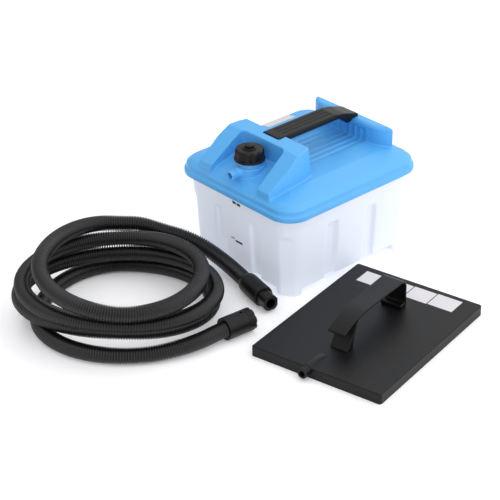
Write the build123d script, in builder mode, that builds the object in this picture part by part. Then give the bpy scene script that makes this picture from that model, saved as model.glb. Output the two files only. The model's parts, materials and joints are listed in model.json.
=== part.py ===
from build123d import *
import math
import os

# Wallpaper steamer set: a water tank with a moulded lid, a coiled steam hose and a steam plate.
# Millimetres. +Z is up, -Y is the front of the tank with the filler cap, +X is its right side.
# The origin is on the floor under the middle of the tank.

os.makedirs("parts", exist_ok=True)

# Fits and small steps
running_fit = 0.05
loose_fit = 0.3
screw_fit = 0.1
rest_gap = 0.1
overrun = 1.0

# Tank
tank_rim_width = 236.0
tank_rim_length = 262.0
tank_rim_corner = 32.0
tank_draft = 3.3
tank_height = 141.0
tank_wall = 3.0
flare_low = 118.0
flare_draft = 12.5
lip_thickness = 3.0
lip_clearance = 0.6
foot_height = 11.0
foot_reach_x = 29.0
foot_reach_y = 26.0
flute_top = 106.0
flute_ramp = 7.0
flute_depth = 6.0
flute_flank = 4.0
flute_width_front = 23.0
flute_width_side = 25.0
flute_offset_front = 37.5
flute_offset_side = 40.0
corner_flat_depth = 2.8
corner_flat_top = 106.0
corner_flat_turn = 53.0
corner_cutter = 30.0

# Lid deck
lid_width = 254.1
lid_length = 282.8
lid_corner = 36.8
lid_wall = 3.0
lid_least_corner = 0.8
lid_skirt_low = 136.0
lid_ledge = 3.5
lid_ledge_height = 145.0
lid_edge_chamfer = 1.5
lid_riser_top = 152.5
lid_shoulder_inset = 12.0
lid_shoulder_height = 159.5
lid_plateau_inset = 45.0
lid_plateau_height = 166.0
gasket_thickness = 1.5
gasket_width = 5.0
gasket_margin = 0.5
seat_width = 7.0
seat_rib_height = 4.5

# Hood at the front of the lid
hood_low = 144.0
hood_top = 212.5
hood_back_foot = -38.0
hood_back_top = -46.0
hood_brow = -75.0
hood_brow_height = 210.0
hood_toe = -130.2
hood_toe_height = 161.6
hood_end = -134.5
hood_end_height = 151.5
hood_back_half = 68.0
hood_bend_half = 77.0
hood_bend = -60.0
hood_half = 81.5
hood_half_start = -92.0
hood_toe_half = 78.0
hood_draft = 3.0

# Recess in the hood for the filler cap
recess_back = -72.0
recess_back_height = 180.0
recess_lip = -121.0
recess_step = 0.8
recess_back_half = 47.0
recess_front_half = 50.5
recess_corner = 10.0

# Filler neck and steam outlet
cap_axis = -101.0
neck_radius = 19.0
neck_bore = 16.0
neck_low = 161.0
neck_top = 201.0
neck_seat_radius = 23.5
neck_seat_top = 181.0
spigot_radius = 7.5
outlet_bore = 4.75
outlet_height = 173.5
outlet_root_radius = 9.0
outlet_root_end = -126.0
outlet_end = -141.5
web_width = 4.0
web_depth = 12.0

# Rear housing on the lid
rear_front = 99.0
rear_back = 118.0
rear_flat_half = 54.5
rear_end_radius = 31.0
rear_low = 150.0
rear_top = 195.5
rear_chamfer = 3.5

# Ribbed pocket under the carry handle
pocket_half = 42.4
pocket_floor = 161.0
pocket_top = 185.0
pocket_front = -39.0
pocket_rear_depth = 4.0
rib_count = 6
rib_pitch = 12.0
rib_width = 3.0
rib_height = 2.6

# Carry handle
handle_half = 17.6
handle_top = 212.7
handle_front = -58.7
handle_bend = 60.0
handle_crook = 80.0
handle_crook_height = 209.2
handle_end = 108.5
handle_end_height = 200.3
handle_thickness = 8.7
handle_chamfer = 1.5
hook_front = 85.0
hook_back = 92.0
hook_low = 191.0
hook_heel = 96.5
hook_start = 72.0
groove_count = 3
groove_pitch = 8.0
groove_width = 3.0
groove_depth = 1.4
groove_front = -45.0
groove_back = 58.0
handle_screw_radius = 2.0
handle_screw_head = 3.6
handle_screw_head_height = 2.4
handle_screw_bite = 6.0
handle_screw_half = 9.0
handle_screw_place = -52.0

# Filler cap and relief valve
cap_base = 188.0
cap_flange_radius = 23.5
cap_flange_height = 3.0
cap_radius = 22.0
cap_top = 205.0
cap_crown = 206.0
cap_crown_radius = 19.0
cap_plate = 3.0
cap_flute_count = 10
cap_flute_radius = 7.0
cap_flute_depth = 1.2
collar_radius = 10.5
collar_height = 2.5
knob_radius = 7.5
knob_top = 212.0
stem_radius = 3.0
stem_tip_radius = 2.0
retainer_radius = 7.0
retainer_thickness = 2.5
retainer_low = 185.0
spring_radius = 5.0
spring_wire = 1.2
spring_turns = 3
spring_steps = 12

# Sides of small pieces that are drawn as many-sided
cuff_sides = 32
seal_sides = 24
screw_sides = 12
element_sides = 6

# Heating element and its fittings under the rear housing
cover_low = 150.0
cover_thickness = 3.0
cover_half = 88.0
cover_front = 70.0
cover_back = 121.0
cover_corner = 8.0
boss_radius = 5.0
boss_half = 72.0
boss_front = 80.0
boss_back = 98.0
boss_bite = 0.5
element_radius = 4.0
element_half = 24.0
element_leg = 94.0
element_low = 30.0
element_front = -60.0
element_bend = 22.0
flange_length = 72.0
flange_width = 24.0
flange_thickness = 3.0
element_gasket_thickness = 1.5
nut_height = 4.0
nut_radius = 7.0
cutout_radius = 9.0
cutout_height = 4.0
terminal_length = 20.0
terminal_width = 9.0
terminal_height = 22.0
terminal_place = 56.0
terminal_row = 110.2
gland_place = -50.0
gland_height = 176.0
gland_radius = 6.0
gland_flange_radius = 9.5
gland_flange = 5.0
gland_bore = 4.0
gland_nose = 14.0
gland_nose_radius = 7.0

# Steam hose
hose_crest = 12.0
hose_root = 11.0
hose_coil_radius = 11.8
hose_bore = 9.5
hose_sides = 10
hose_bore_sides = 6
rib_spacing = 11.0
coil_turn = 48.16
coil_centre = (-39.0, -319.4)
coil_rings = 3
coil_samples = 10
coil_skip = 120.0
hose_socket = 24.0
hose_socket_gap = 0.2

# Cuff and nozzle on the tank end of the hose
tank_cuff_rear_radius = 14.0
tank_cuff_radius = 16.0
tank_cuff_length = 51.0
tank_cuff_flare = 16.0
nozzle_length = 22.0
nozzle_radius = 12.5
nozzle_flats = 23.0
nozzle_root = 12.0
nozzle_root_radius = 11.0
socket_radius = 7.6
socket_depth = 20.0
cuff_seal_thickness = 2.5
cuff_seal_bore = 7.0
plate_socket_depth = 17.5
plate_seal_radius = 7.1

# Cuff and lock ring on the plate end of the hose
plate_cuff_radius = 17.0
plate_cuff_length = 35.0
plate_neck_radius = 12.0
plate_neck_length = 13.0
ring_length = 12.0
ring_gap = 0.5
ring_notches = 8
ring_notch_width = 5.0
ring_notch_depth = 1.6
ring_lip = 1.5
peep_radius = 2.3
peep_place = 30.0

# Steam plate and its handle, in the plate's own turned frame
plate_centre = (253.5, -102.9)
plate_turn = 12.33
plate_length = 280.0
plate_width = 214.0
plate_height = 16.3
plate_wall = 2.5
plate_corner = 4.0
plate_chamfer = 1.2
plate_rib_width = 2.0
plate_rib_height = 8.0
plate_rib_places = (-60.0, 0.0, 60.0)
inlet_place = -12.0
inlet_height = 12.0
inlet_bore = 4.5
inlet_end = -153.0
inlet_root = -98.0
inlet_root_radius = 8.2
inlet_fade = 20.0
grip_top = 63.2
grip_thickness = 3.5
grip_front = -86.0
grip_front_height = 45.5
grip_mid = -56.0
grip_mid_height = 56.3
grip_level = -29.0
grip_rear = 74.0
grip_bend = 13.0
grip_front_width = 28.5
grip_rear_width = 35.0
leg_top = -54.0
leg_mid = -66.0
leg_mid_height = 36.0
leg_foot = -80.0
leg_thickness = 5.5
foot_block_depth = 11.0
foot_block_height = 7.0
grip_screw_radius = 1.8
grip_screw_head = 3.4
grip_screw_head_height = 2.0
grip_screw_bite = 5.0
grip_screw_half = 8.0


def tank_outline(height, inset):
    """Width, length and corner radius of the tank wall at a height."""
    inset += (tank_height - height) * math.tan(math.radians(tank_draft))
    return tank_rim_width - 2 * inset, tank_rim_length - 2 * inset, tank_rim_corner - inset


def tank_form(low, high, inset, draft):
    """Drafted tub form between two heights."""
    with BuildPart() as form:
        with BuildSketch(Plane.XY.offset(low)):
            RectangleRounded(*tank_outline(low, inset))
        extrude(amount=high - low, taper=-draft)
    return form.part


def flute_form(turn, side, along, width, grow):
    """Channel up one wall of the tank, thickened by grow to leave the wall round it."""
    facing = (math.cos(math.radians(turn)), math.sin(math.radians(turn)), 0)
    stations = (
        (-overrun, flute_depth + grow),
        (flute_top - flute_ramp + grow, flute_depth + grow),
        (flute_top + grow, grow - overrun),
    )
    mouth = width / 2 + grow
    floor = mouth - flute_flank
    with BuildPart() as form:
        for height, depth in stations:
            reach = tank_outline(height, 0)[side] / 2
            with BuildSketch(Plane((0, 0, height), x_dir=facing, z_dir=(0, 0, 1))):
                Polygon(
                    (along - mouth, reach + 2 * overrun),
                    (along - floor, reach - depth),
                    (along + floor, reach - depth),
                    (along + mouth, reach + 2 * overrun),
                    align=None,
                )
        loft(ruled=True)
    return form.part


def flute_set(grow):
    """All channels of the tank, two on each wall."""
    forms = []
    for turn, side, offset_along, width in (
        (0, 1, flute_offset_front, flute_width_front),
        (180, 1, flute_offset_front, flute_width_front),
        (90, 0, flute_offset_side, flute_width_side),
        (270, 0, flute_offset_side, flute_width_side),
    ):
        for sign in (-1, 1):
            forms.append(flute_form(turn, side, sign * offset_along, width, grow))
    return forms


def corner_form(sign_x, sign_y, grow):
    """Cutter for the flat on one corner of the tank, thickened by grow to leave the wall behind it."""
    stations = (
        (-overrun, corner_flat_depth + grow),
        (corner_flat_top - flute_ramp + grow, corner_flat_depth + grow),
        (corner_flat_top + grow, grow - overrun),
    )
    with BuildPart() as form:
        for height, depth in stations:
            width, length, corner = tank_outline(height, 0)
            reach = corner - depth + corner_cutter / 2
            place_x = sign_x * (width / 2 - corner + reach * math.cos(math.radians(corner_flat_turn)))
            place_y = sign_y * (length / 2 - corner + reach * math.sin(math.radians(corner_flat_turn)))
            with BuildSketch(Plane.XY.offset(height)):
                with Locations((place_x, place_y)):
                    Rectangle(corner_cutter, 2 * corner_cutter, rotation=corner_flat_turn * sign_x * sign_y)
        loft(ruled=True)
    return form.part


def corner_set(grow):
    """The flats on all four corners of the tank."""
    return [corner_form(sign_x, sign_y, grow) for sign_x in (-1, 1) for sign_y in (-1, 1)]


def lid_outline(inset):
    """Width, length and corner radius of the lid's outline, moved in."""
    return lid_width - 2 * inset, lid_length - 2 * inset, max(lid_corner - inset, lid_least_corner)


def deck_form(low, wall):
    """Stepped and crowned deck of the lid above the ledge."""
    riser_top = lid_riser_top - wall
    shoulder_top = lid_shoulder_height - wall
    plateau = lid_plateau_height - wall
    shoulder_draft = math.degrees(math.atan2(lid_shoulder_inset - lid_ledge, shoulder_top - riser_top))
    crown_draft = math.degrees(math.atan2(lid_plateau_inset - lid_shoulder_inset, plateau - shoulder_top))
    width, length, corner = lid_outline(lid_shoulder_inset + wall)
    crown_run = corner - lid_least_corner
    crown_top = shoulder_top + crown_run / math.tan(math.radians(crown_draft))
    with BuildPart() as form:
        with BuildSketch(Plane.XY.offset(low)):
            RectangleRounded(*lid_outline(lid_ledge + wall))
        extrude(amount=riser_top - low)
        with BuildSketch(Plane.XY.offset(riser_top)):
            RectangleRounded(*lid_outline(lid_ledge + wall))
        extrude(amount=shoulder_top - riser_top, taper=shoulder_draft)
        with BuildSketch(Plane.XY.offset(shoulder_top)):
            RectangleRounded(width, length, corner)
        extrude(amount=crown_top - shoulder_top, taper=crown_draft)
        with BuildSketch(Plane.XY.offset(crown_top)):
            Rectangle(width - 2 * crown_run, length - 2 * crown_run)
        extrude(amount=plateau - crown_top, taper=crown_draft)
    return form.part


def hood_form(wall):
    """Hood block: its side profile across the lid, cut to its outline from above."""
    with BuildPart() as form:
        with BuildSketch(Plane.YZ):
            with BuildLine():
                Polyline(
                    (hood_back_foot, hood_low),
                    (hood_back_top, hood_top),
                    (hood_brow, hood_brow_height),
                    (hood_toe, hood_toe_height),
                    (hood_end, hood_end_height),
                    (hood_end, hood_low),
                    close=True,
                )
            make_face()
            if wall:
                offset(amount=-wall, kind=Kind.INTERSECTION)
        extrude(amount=lid_width / 2, both=True)
        with BuildSketch(Plane.XY.offset(hood_low)):
            with BuildLine():
                Polyline(
                    (hood_back_half, hood_back_foot + lid_wall + overrun),
                    (-hood_back_half, hood_back_foot + lid_wall + overrun),
                    (-hood_bend_half, hood_bend),
                    (-hood_half, hood_half_start),
                    (-hood_toe_half, hood_end - lid_wall - overrun),
                    (hood_toe_half, hood_end - lid_wall - overrun),
                    (hood_half, hood_half_start),
                    (hood_bend_half, hood_bend),
                    close=True,
                )
            make_face()
            if wall:
                offset(amount=-wall, kind=Kind.INTERSECTION)
        extrude(amount=hood_top - hood_low + overrun, taper=hood_draft, mode=Mode.INTERSECT)
    return form.part


def recess_form(grow):
    """Space round the filler cap, thickened by grow to leave the wall round it."""
    shoulder = lid_length / 2 - lid_shoulder_inset
    riser = lid_length / 2 - lid_ledge
    slope = (lid_shoulder_height - lid_riser_top) / (riser - shoulder)
    riser_height = lid_riser_top - recess_step
    lip_height = riser_height + (riser + recess_lip) * slope
    front = -lid_length / 2 - overrun
    high = hood_top + lid_wall + overrun
    with BuildPart() as form:
        with BuildSketch(Plane.YZ):
            with BuildLine():
                Polyline(
                    (recess_back, recess_back_height),
                    (recess_back, high),
                    (front, high),
                    (front, riser_height),
                    (-riser, riser_height),
                    (recess_lip, lip_height),
                    close=True,
                )
            make_face()
            if grow:
                offset(amount=grow, kind=Kind.INTERSECTION)
        extrude(amount=lid_width / 2, both=True)
        with BuildSketch(Plane.XY.offset(hood_low)) as plan:
            with BuildLine():
                Polyline(
                    (-recess_back_half, recess_back),
                    (recess_back_half, recess_back),
                    (recess_front_half, front - grow),
                    (-recess_front_half, front - grow),
                    close=True,
                )
            make_face()
            fillet(plan.vertices().group_by(Axis.Y)[-1], radius=recess_corner)
            if grow:
                offset(amount=grow, kind=Kind.INTERSECTION)
        extrude(amount=high - hood_low + grow, mode=Mode.INTERSECT)
    return form.part


def rear_form(wall):
    """Housing block at the rear of the lid, with round ends towards the front."""
    sweep_angle = math.degrees(math.acos(1 - (rear_back - rear_front) / rear_end_radius))
    with BuildPart() as form:
        with BuildSketch(Plane.XY.offset(rear_low)):
            with BuildLine():
                right = JernArc((rear_flat_half, rear_front), (1, 0), rear_end_radius, sweep_angle)
                left = JernArc((-rear_flat_half, rear_front), (-1, 0), rear_end_radius, -sweep_angle)
                Line(left @ 0, right @ 0)
                Line(left @ 1, right @ 1)
            make_face()
            if wall:
                offset(amount=-wall, kind=Kind.INTERSECTION)
        extrude(amount=rear_top - rear_low - wall)
    return form.part


def pocket_form(grow):
    """Ribbed pocket between the hood and the rear housing, without its ribs."""
    length = rear_front + pocket_rear_depth - pocket_front
    with BuildPart() as form:
        with BuildSketch(Plane.XY.offset(pocket_floor - grow)):
            with Locations((0, pocket_front + length / 2)):
                Rectangle(2 * (pocket_half + grow), length + 2 * grow)
        extrude(amount=pocket_top - pocket_floor + 2 * grow)
    return form.part


def slot_form(grow):
    """Slot in the top of the hood for the front end of the carry handle."""
    front = handle_front - loose_fit - grow
    floor = handle_top - handle_thickness - grow
    with BuildPart() as form:
        with BuildSketch(Plane.XY.offset(floor)):
            with Locations((0, (front + hood_back_foot) / 2)):
                Rectangle(2 * (handle_half + loose_fit + grow), hood_back_foot - front)
        extrude(amount=hood_top - floor + overrun)
    return form.part


def coil_point(across, away, height):
    """Point of the coil given across and away from its centre."""
    turn = math.radians(coil_turn)
    x = coil_centre[0] + across * math.cos(turn) - away * math.sin(turn)
    y = coil_centre[1] + across * math.sin(turn) + away * math.cos(turn)
    return Vector(x, y, height)


def biarcs(points, tangents):
    """Two arcs from each point to the next, in the open line."""
    for start, end, leave, arrive in zip(points, points[1:], tangents, tangents[1:]):
        chord = end - start
        both = leave + arrive
        spread = 2 * (1 - leave.dot(arrive))
        along = chord.dot(both)
        reach = (math.sqrt(along**2 + spread * chord.dot(chord)) - along) / spread
        first = start + leave * reach
        second = end - arrive * reach
        joint = (first + second) * 0.5
        TangentArc(start, joint, tangent=leave)
        TangentArc(joint, end, tangent=second - first)


def chord_points(points, count):
    """Points along the straight chords between ring centres, in order."""
    pairs = zip(points, points[1:])
    return [start + (end - start) * (step / count) for start, end in pairs for step in range(count)]


def least_gap(points, thickness, skip):
    """Least gap of a tube to itself, past a length that is skipped along it."""
    travel = [0.0]
    for start, end in zip(points, points[1:]):
        travel.append(travel[-1] + (end - start).length)
    distances = [
        (points[j] - points[i]).length
        for i in range(len(points))
        for j in range(i + 1, len(points))
        if travel[j] - travel[i] > skip
    ]
    return min(distances) - thickness


def bend_radii(route):
    """Radius of each corner of a route, as large as its two runs allow."""
    radii = []
    for before, corner, after in zip(route, route[1:], route[2:]):
        inward = corner - before
        outward = after - corner
        half_turn = math.radians(inward.get_angle(outward)) / 2
        radii.append(0.45 * min(inward.length, outward.length) / math.tan(half_turn))
    return radii


def hose_ring(spot, ahead, radius, sides):
    """One many-sided outline of the hose, square to its path."""
    with BuildSketch(Plane(spot, x_dir=Vector(0, 0, 1).cross(ahead), z_dir=ahead)) as ring:
        RegularPolygon(radius, sides)
    return ring.sketch


def ring_area(radius, sides):
    """Area of a many-sided outline."""
    return sides / 2 * radius**2 * math.sin(2 * math.pi / sides)


def tail_ring(path, place, radius, sides):
    """One outline of a free end of the hose at a length along its path."""
    spot = path.position_at(place, position_mode=PositionMode.LENGTH)
    ahead = path.tangent_at(place, position_mode=PositionMode.LENGTH)
    return hose_ring(spot, ahead, radius, sides)


def hose_tail(route):
    """Ribbed hose with its bore along a route of runs and arcs."""
    radii = bend_radii(route)
    with BuildLine() as path:
        FilletPolyline(*route, radius=radii)
    wire = path.wire()
    count = round(wire.length / rib_spacing)
    pitch = wire.length / count
    print("hose stretch", round(wire.length, 1), "ribs", count, "radii", [round(r) for r in radii])
    stations = [(0, hose_root)]
    for number in range(count):
        start = number * pitch
        stations.append((start + pitch * 0.2, hose_root))
        stations.append((start + pitch * 0.35, hose_crest))
        stations.append((start + pitch * 0.7, hose_crest))
        stations.append((start + pitch * 0.85, hose_root))
    stations.append((wire.length, hose_root))
    outline = [tail_ring(wire, place, radius, hose_sides) for place, radius in stations]
    places = [wire.length * step / (4 * len(route)) for step in range(4 * len(route) + 1)]
    hollow = [tail_ring(wire, place, hose_bore, hose_bore_sides) for place in places]
    with BuildPart() as tail:
        loft(outline, ruled=True)
        loft(hollow, ruled=True, mode=Mode.SUBTRACT)
    middle = (hose_root + hose_crest) / 2
    section = ring_area(middle, hose_sides) - ring_area(hose_bore, hose_bore_sides)
    print("stretch volume", round(tail.part.volume), "section by length", round(section * wire.length))
    return tail


# Tank: tapered tub with a turned-out lip, corner feet, channels and corner flats
lip_size = lid_outline(lid_wall + lip_clearance)
base_width, base_length, base_corner = tank_outline(0, 0)
foot_gap_x = base_width - 2 * foot_reach_x
foot_gap_y = base_length - 2 * foot_reach_y
with BuildPart() as tank_inside:
    add(tank_form(tank_wall, tank_height + overrun, tank_wall, tank_draft))
    for cutter in flute_set(tank_wall) + corner_set(tank_wall):
        add(cutter, mode=Mode.SUBTRACT)
    Box(foot_gap_x + 2 * tank_wall, tank_rim_length, 2 * (foot_height + tank_wall), mode=Mode.SUBTRACT)
    Box(tank_rim_width, foot_gap_y + 2 * tank_wall, 2 * (foot_height + tank_wall), mode=Mode.SUBTRACT)
with BuildPart() as tank:
    add(tank_form(0, tank_height, 0, tank_draft))
    add(tank_form(flare_low, tank_height - lip_thickness, 0, flare_draft))
    with BuildSketch(Plane.XY.offset(tank_height - lip_thickness)):
        RectangleRounded(*lip_size)
    extrude(amount=lip_thickness)
    for cutter in flute_set(0) + corner_set(0):
        add(cutter, mode=Mode.SUBTRACT)
    Box(foot_gap_x, tank_rim_length, 2 * foot_height, mode=Mode.SUBTRACT)
    Box(tank_rim_width, foot_gap_y, 2 * foot_height, mode=Mode.SUBTRACT)
    add(tank_inside.part, mode=Mode.SUBTRACT)
tank.part.label = "tank"
export_step(tank.part, "parts/tank.step")

# Gasket between the tank lip and the lid
seat_height = tank_height + gasket_thickness
gasket_inset = lid_wall + lip_clearance + gasket_margin
with BuildPart() as lid_gasket:
    with BuildSketch(Plane.XY.offset(tank_height)):
        RectangleRounded(*lid_outline(gasket_inset))
        RectangleRounded(*lid_outline(gasket_inset + gasket_width), mode=Mode.SUBTRACT)
    extrude(amount=gasket_thickness)
lid_gasket.part.label = "lid_gasket"
export_step(lid_gasket.part, "parts/lid_gasket.step")

# Lid: moulded cover, hollow under its deck, hood and rear housing
seat_rib_top = seat_height + seat_rib_height
cover_top = cover_low + cover_thickness
slot_floor = handle_top - handle_thickness
rib_length = rear_front + pocket_rear_depth - pocket_front
boss_places = [(sign * boss_half, row) for sign in (-1, 1) for row in (boss_front, boss_back)]
handle_screw_places = [(sign * handle_screw_half, handle_screw_place) for sign in (-1, 1)]
with BuildPart() as lid_inside:
    add(deck_form(seat_rib_top, lid_wall))
    add(hood_form(lid_wall))
    add(rear_form(lid_wall))
    add(recess_form(lid_wall), mode=Mode.SUBTRACT)
    add(pocket_form(lid_wall), mode=Mode.SUBTRACT)
    add(slot_form(lid_wall), mode=Mode.SUBTRACT)
    with BuildSketch(Plane.XY.offset(lid_skirt_low)):
        RectangleRounded(*lid_outline(lid_wall))
    extrude(amount=seat_height - lid_skirt_low)
    with BuildSketch(Plane.XY.offset(lid_skirt_low)):
        RectangleRounded(*lid_outline(lid_wall + seat_width))
    extrude(amount=seat_rib_top - lid_skirt_low)
with BuildPart() as lid:
    with BuildSketch(Plane.XY.offset(lid_skirt_low)):
        RectangleRounded(*lid_outline(0))
    extrude(amount=lid_ledge_height - lid_skirt_low)
    chamfer(lid.edges().group_by(Axis.Z)[-1], length=lid_edge_chamfer)
    add(deck_form(lid_ledge_height, 0))
    add(hood_form(0))
    add(rear_form(0))
    chamfer(lid.faces().sort_by(Axis.Z)[-2].edges(), length=rear_chamfer)
    add(recess_form(0), mode=Mode.SUBTRACT)
    add(pocket_form(0), mode=Mode.SUBTRACT)
    add(slot_form(0), mode=Mode.SUBTRACT)
    add(lid_inside.part, mode=Mode.SUBTRACT)
    with BuildSketch(Plane.XY.offset(pocket_floor)):
        with Locations((0, pocket_front + rib_length / 2)):
            with GridLocations(rib_pitch, 0, rib_count, 1):
                Rectangle(rib_width, rib_length)
    extrude(amount=rib_height)
    with BuildSketch(Plane.XY.offset(pocket_floor)):
        with Locations((0, rear_front + pocket_rear_depth - rib_height / 2)):
            with GridLocations(rib_pitch, 0, rib_count, 1):
                Rectangle(rib_width, rib_height)
    extrude(amount=pocket_top - pocket_floor)
    with BuildSketch(Plane.XY.offset(neck_low)):
        with Locations((0, cap_axis)):
            Circle(neck_radius)
    extrude(amount=neck_top - neck_low)
    with BuildSketch(Plane.XY.offset(neck_low)):
        with Locations((0, cap_axis)):
            Circle(neck_seat_radius)
    extrude(amount=neck_seat_top - neck_low)
    with BuildSketch(Plane.XZ.offset(-cap_axis)):
        with Locations((0, outlet_height)):
            Circle(outlet_root_radius)
    extrude(amount=cap_axis - outlet_root_end)
    with BuildSketch(Plane.XZ.offset(-cap_axis)):
        with Locations((0, outlet_height)):
            Circle(spigot_radius)
    extrude(amount=cap_axis - outlet_end)
    with BuildSketch(Plane.YZ):
        with BuildLine():
            Polyline(
                (cap_axis, outlet_height),
                (outlet_root_end, outlet_height),
                (recess_lip, outlet_height - web_depth),
                (cap_axis, outlet_height - web_depth),
                close=True,
            )
        make_face()
    extrude(amount=web_width / 2, both=True)
    with BuildSketch(Plane.XY.offset(neck_low - web_depth)):
        with Locations((0, cap_axis)):
            Circle(neck_bore)
    extrude(amount=neck_top - neck_low + web_depth, mode=Mode.SUBTRACT)
    with BuildSketch(Plane.XZ.offset(-cap_axis)):
        with Locations((0, outlet_height)):
            Circle(outlet_bore)
    extrude(amount=cap_axis - outlet_end, mode=Mode.SUBTRACT)
    with BuildSketch(Plane.XY.offset(cover_top)):
        with Locations(*boss_places):
            Circle(boss_radius)
    extrude(amount=lid_plateau_height - lid_wall + boss_bite - cover_top)
    with BuildSketch(Plane.XY.offset(slot_floor - lid_wall)):
        with Locations(*handle_screw_places):
            Circle(handle_screw_radius + screw_fit)
    extrude(amount=lid_wall, mode=Mode.SUBTRACT)
    with BuildSketch(Plane.XZ.offset(-rear_back)):
        with Locations((gland_place, gland_height)):
            Circle(gland_radius + screw_fit)
    extrude(amount=lid_wall, mode=Mode.SUBTRACT)
lid.part.label = "lid"
export_step(lid.part, "parts/lid.step")

# Carry handle: strap with a bent rear end, a hook and grip grooves
with BuildPart() as carry_handle:
    with BuildSketch(Plane.YZ):
        with BuildLine():
            Polyline(
                (handle_front, slot_floor),
                (handle_front, handle_top),
                (handle_bend, handle_top),
                (handle_crook, handle_crook_height),
                (handle_end, handle_end_height),
                (handle_end, rear_top),
                (hook_heel, rear_top),
                (hook_back, hook_low),
                (hook_front, hook_low),
                (hook_start, slot_floor),
                close=True,
            )
        make_face()
    extrude(amount=handle_half, both=True)
    sides = carry_handle.faces().sort_by(Axis.X)
    upper_edges = sides[0].edges().group_by(Axis.Z)[-1] + sides[-1].edges().group_by(Axis.Z)[-1]
    chamfer(upper_edges, length=handle_chamfer)
    with BuildSketch(Plane.XY.offset(handle_top)):
        with Locations((0, (groove_front + groove_back) / 2)):
            with GridLocations(groove_pitch, 0, groove_count, 1):
                SlotOverall(groove_back - groove_front, groove_width, rotation=90)
    extrude(amount=-groove_depth, mode=Mode.SUBTRACT)
    with BuildSketch(Plane.XY.offset(slot_floor)):
        with Locations(*handle_screw_places):
            RegularPolygon(handle_screw_radius + screw_fit, screw_sides)
    extrude(amount=handle_screw_bite, mode=Mode.SUBTRACT)
carry_handle.part.label = "carry_handle"
export_step(carry_handle.part, "parts/carry_handle.step")

# Screws from inside the hood into the carry handle
with BuildPart() as handle_screws:
    with BuildSketch(Plane.XY.offset(slot_floor - lid_wall)):
        with Locations(*handle_screw_places):
            RegularPolygon(handle_screw_head, screw_sides)
    extrude(amount=-handle_screw_head_height)
    with BuildSketch(Plane.XY.offset(slot_floor - lid_wall)):
        with Locations(*handle_screw_places):
            RegularPolygon(handle_screw_radius, screw_sides)
    extrude(amount=lid_wall + handle_screw_bite - overrun)
handle_screws.part.label = "handle_screws"
export_step(handle_screws.part, "parts/handle_screws.step")

# Filler cap: fluted body with a collar for the relief valve
cap_inside = cap_crown - cap_plate
collar_top = cap_crown + collar_height
cap_body_low = cap_base + cap_flange_height
with BuildPart() as filler_cap:
    with BuildSketch(Plane.XY.offset(cap_base)):
        with Locations((0, cap_axis)):
            RegularPolygon(cap_flange_radius, cuff_sides)
    extrude(amount=cap_flange_height)
    with BuildSketch(Plane.XY.offset(cap_body_low)):
        with Locations((0, cap_axis)):
            Circle(cap_radius)
            with PolarLocations(cap_radius + cap_flute_radius - cap_flute_depth, cap_flute_count):
                Circle(cap_flute_radius, mode=Mode.SUBTRACT)
    extrude(amount=cap_top - cap_body_low)
    with BuildSketch(Plane.XY.offset(cap_top)):
        with Locations((0, cap_axis)):
            RegularPolygon(cap_crown_radius, cuff_sides)
    extrude(amount=cap_crown - cap_top)
    with BuildSketch(Plane.XY.offset(cap_crown)):
        with Locations((0, cap_axis)):
            RegularPolygon(collar_radius, cuff_sides)
    extrude(amount=collar_height)
    with BuildSketch(Plane.XY.offset(cap_base)):
        with Locations((0, cap_axis)):
            RegularPolygon(neck_radius + loose_fit, cuff_sides, major_radius=False)
    extrude(amount=cap_inside - cap_base, mode=Mode.SUBTRACT)
    with BuildSketch(Plane.XY.offset(cap_inside)):
        with Locations((0, cap_axis)):
            Circle(stem_radius + running_fit)
    extrude(amount=collar_top - cap_inside, mode=Mode.SUBTRACT)
filler_cap.part.label = "filler_cap"
export_step(filler_cap.part, "parts/filler_cap.step")

# Flat seal between the neck and the cap
with BuildPart() as cap_seal:
    with BuildSketch(Plane.XY.offset(neck_top)):
        with Locations((0, cap_axis)):
            RegularPolygon(neck_radius, seal_sides)
            RegularPolygon(neck_bore, seal_sides, mode=Mode.SUBTRACT)
    extrude(amount=cap_inside - neck_top)
cap_seal.part.label = "cap_seal"
export_step(cap_seal.part, "parts/cap_seal.step")

# Relief valve: knob and stem through the collar
retainer_top = retainer_low + retainer_thickness
with BuildPart() as relief_valve:
    with BuildSketch(Plane.YZ):
        with BuildLine():
            Polyline(
                (cap_axis, retainer_low),
                (cap_axis + stem_tip_radius, retainer_low),
                (cap_axis + stem_tip_radius, retainer_top),
                (cap_axis + stem_radius, retainer_top),
                (cap_axis + stem_radius, collar_top + rest_gap),
                (cap_axis + knob_radius, collar_top + rest_gap),
                (cap_axis + knob_radius, knob_top),
                (cap_axis, knob_top),
                close=True,
            )
        make_face()
    revolve(axis=Axis((0, cap_axis, 0), (0, 0, 1)))
relief_valve.part.label = "relief_valve"
export_step(relief_valve.part, "parts/relief_valve.step")

# Retainer washer on the tip of the stem
with BuildPart() as relief_retainer:
    with BuildSketch(Plane.XY.offset(retainer_low)):
        with Locations((0, cap_axis)):
            RegularPolygon(retainer_radius, screw_sides)
            Circle(stem_tip_radius + running_fit, mode=Mode.SUBTRACT)
    extrude(amount=retainer_thickness)
relief_retainer.part.label = "relief_retainer"
export_step(relief_retainer.part, "parts/relief_retainer.step")

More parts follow.
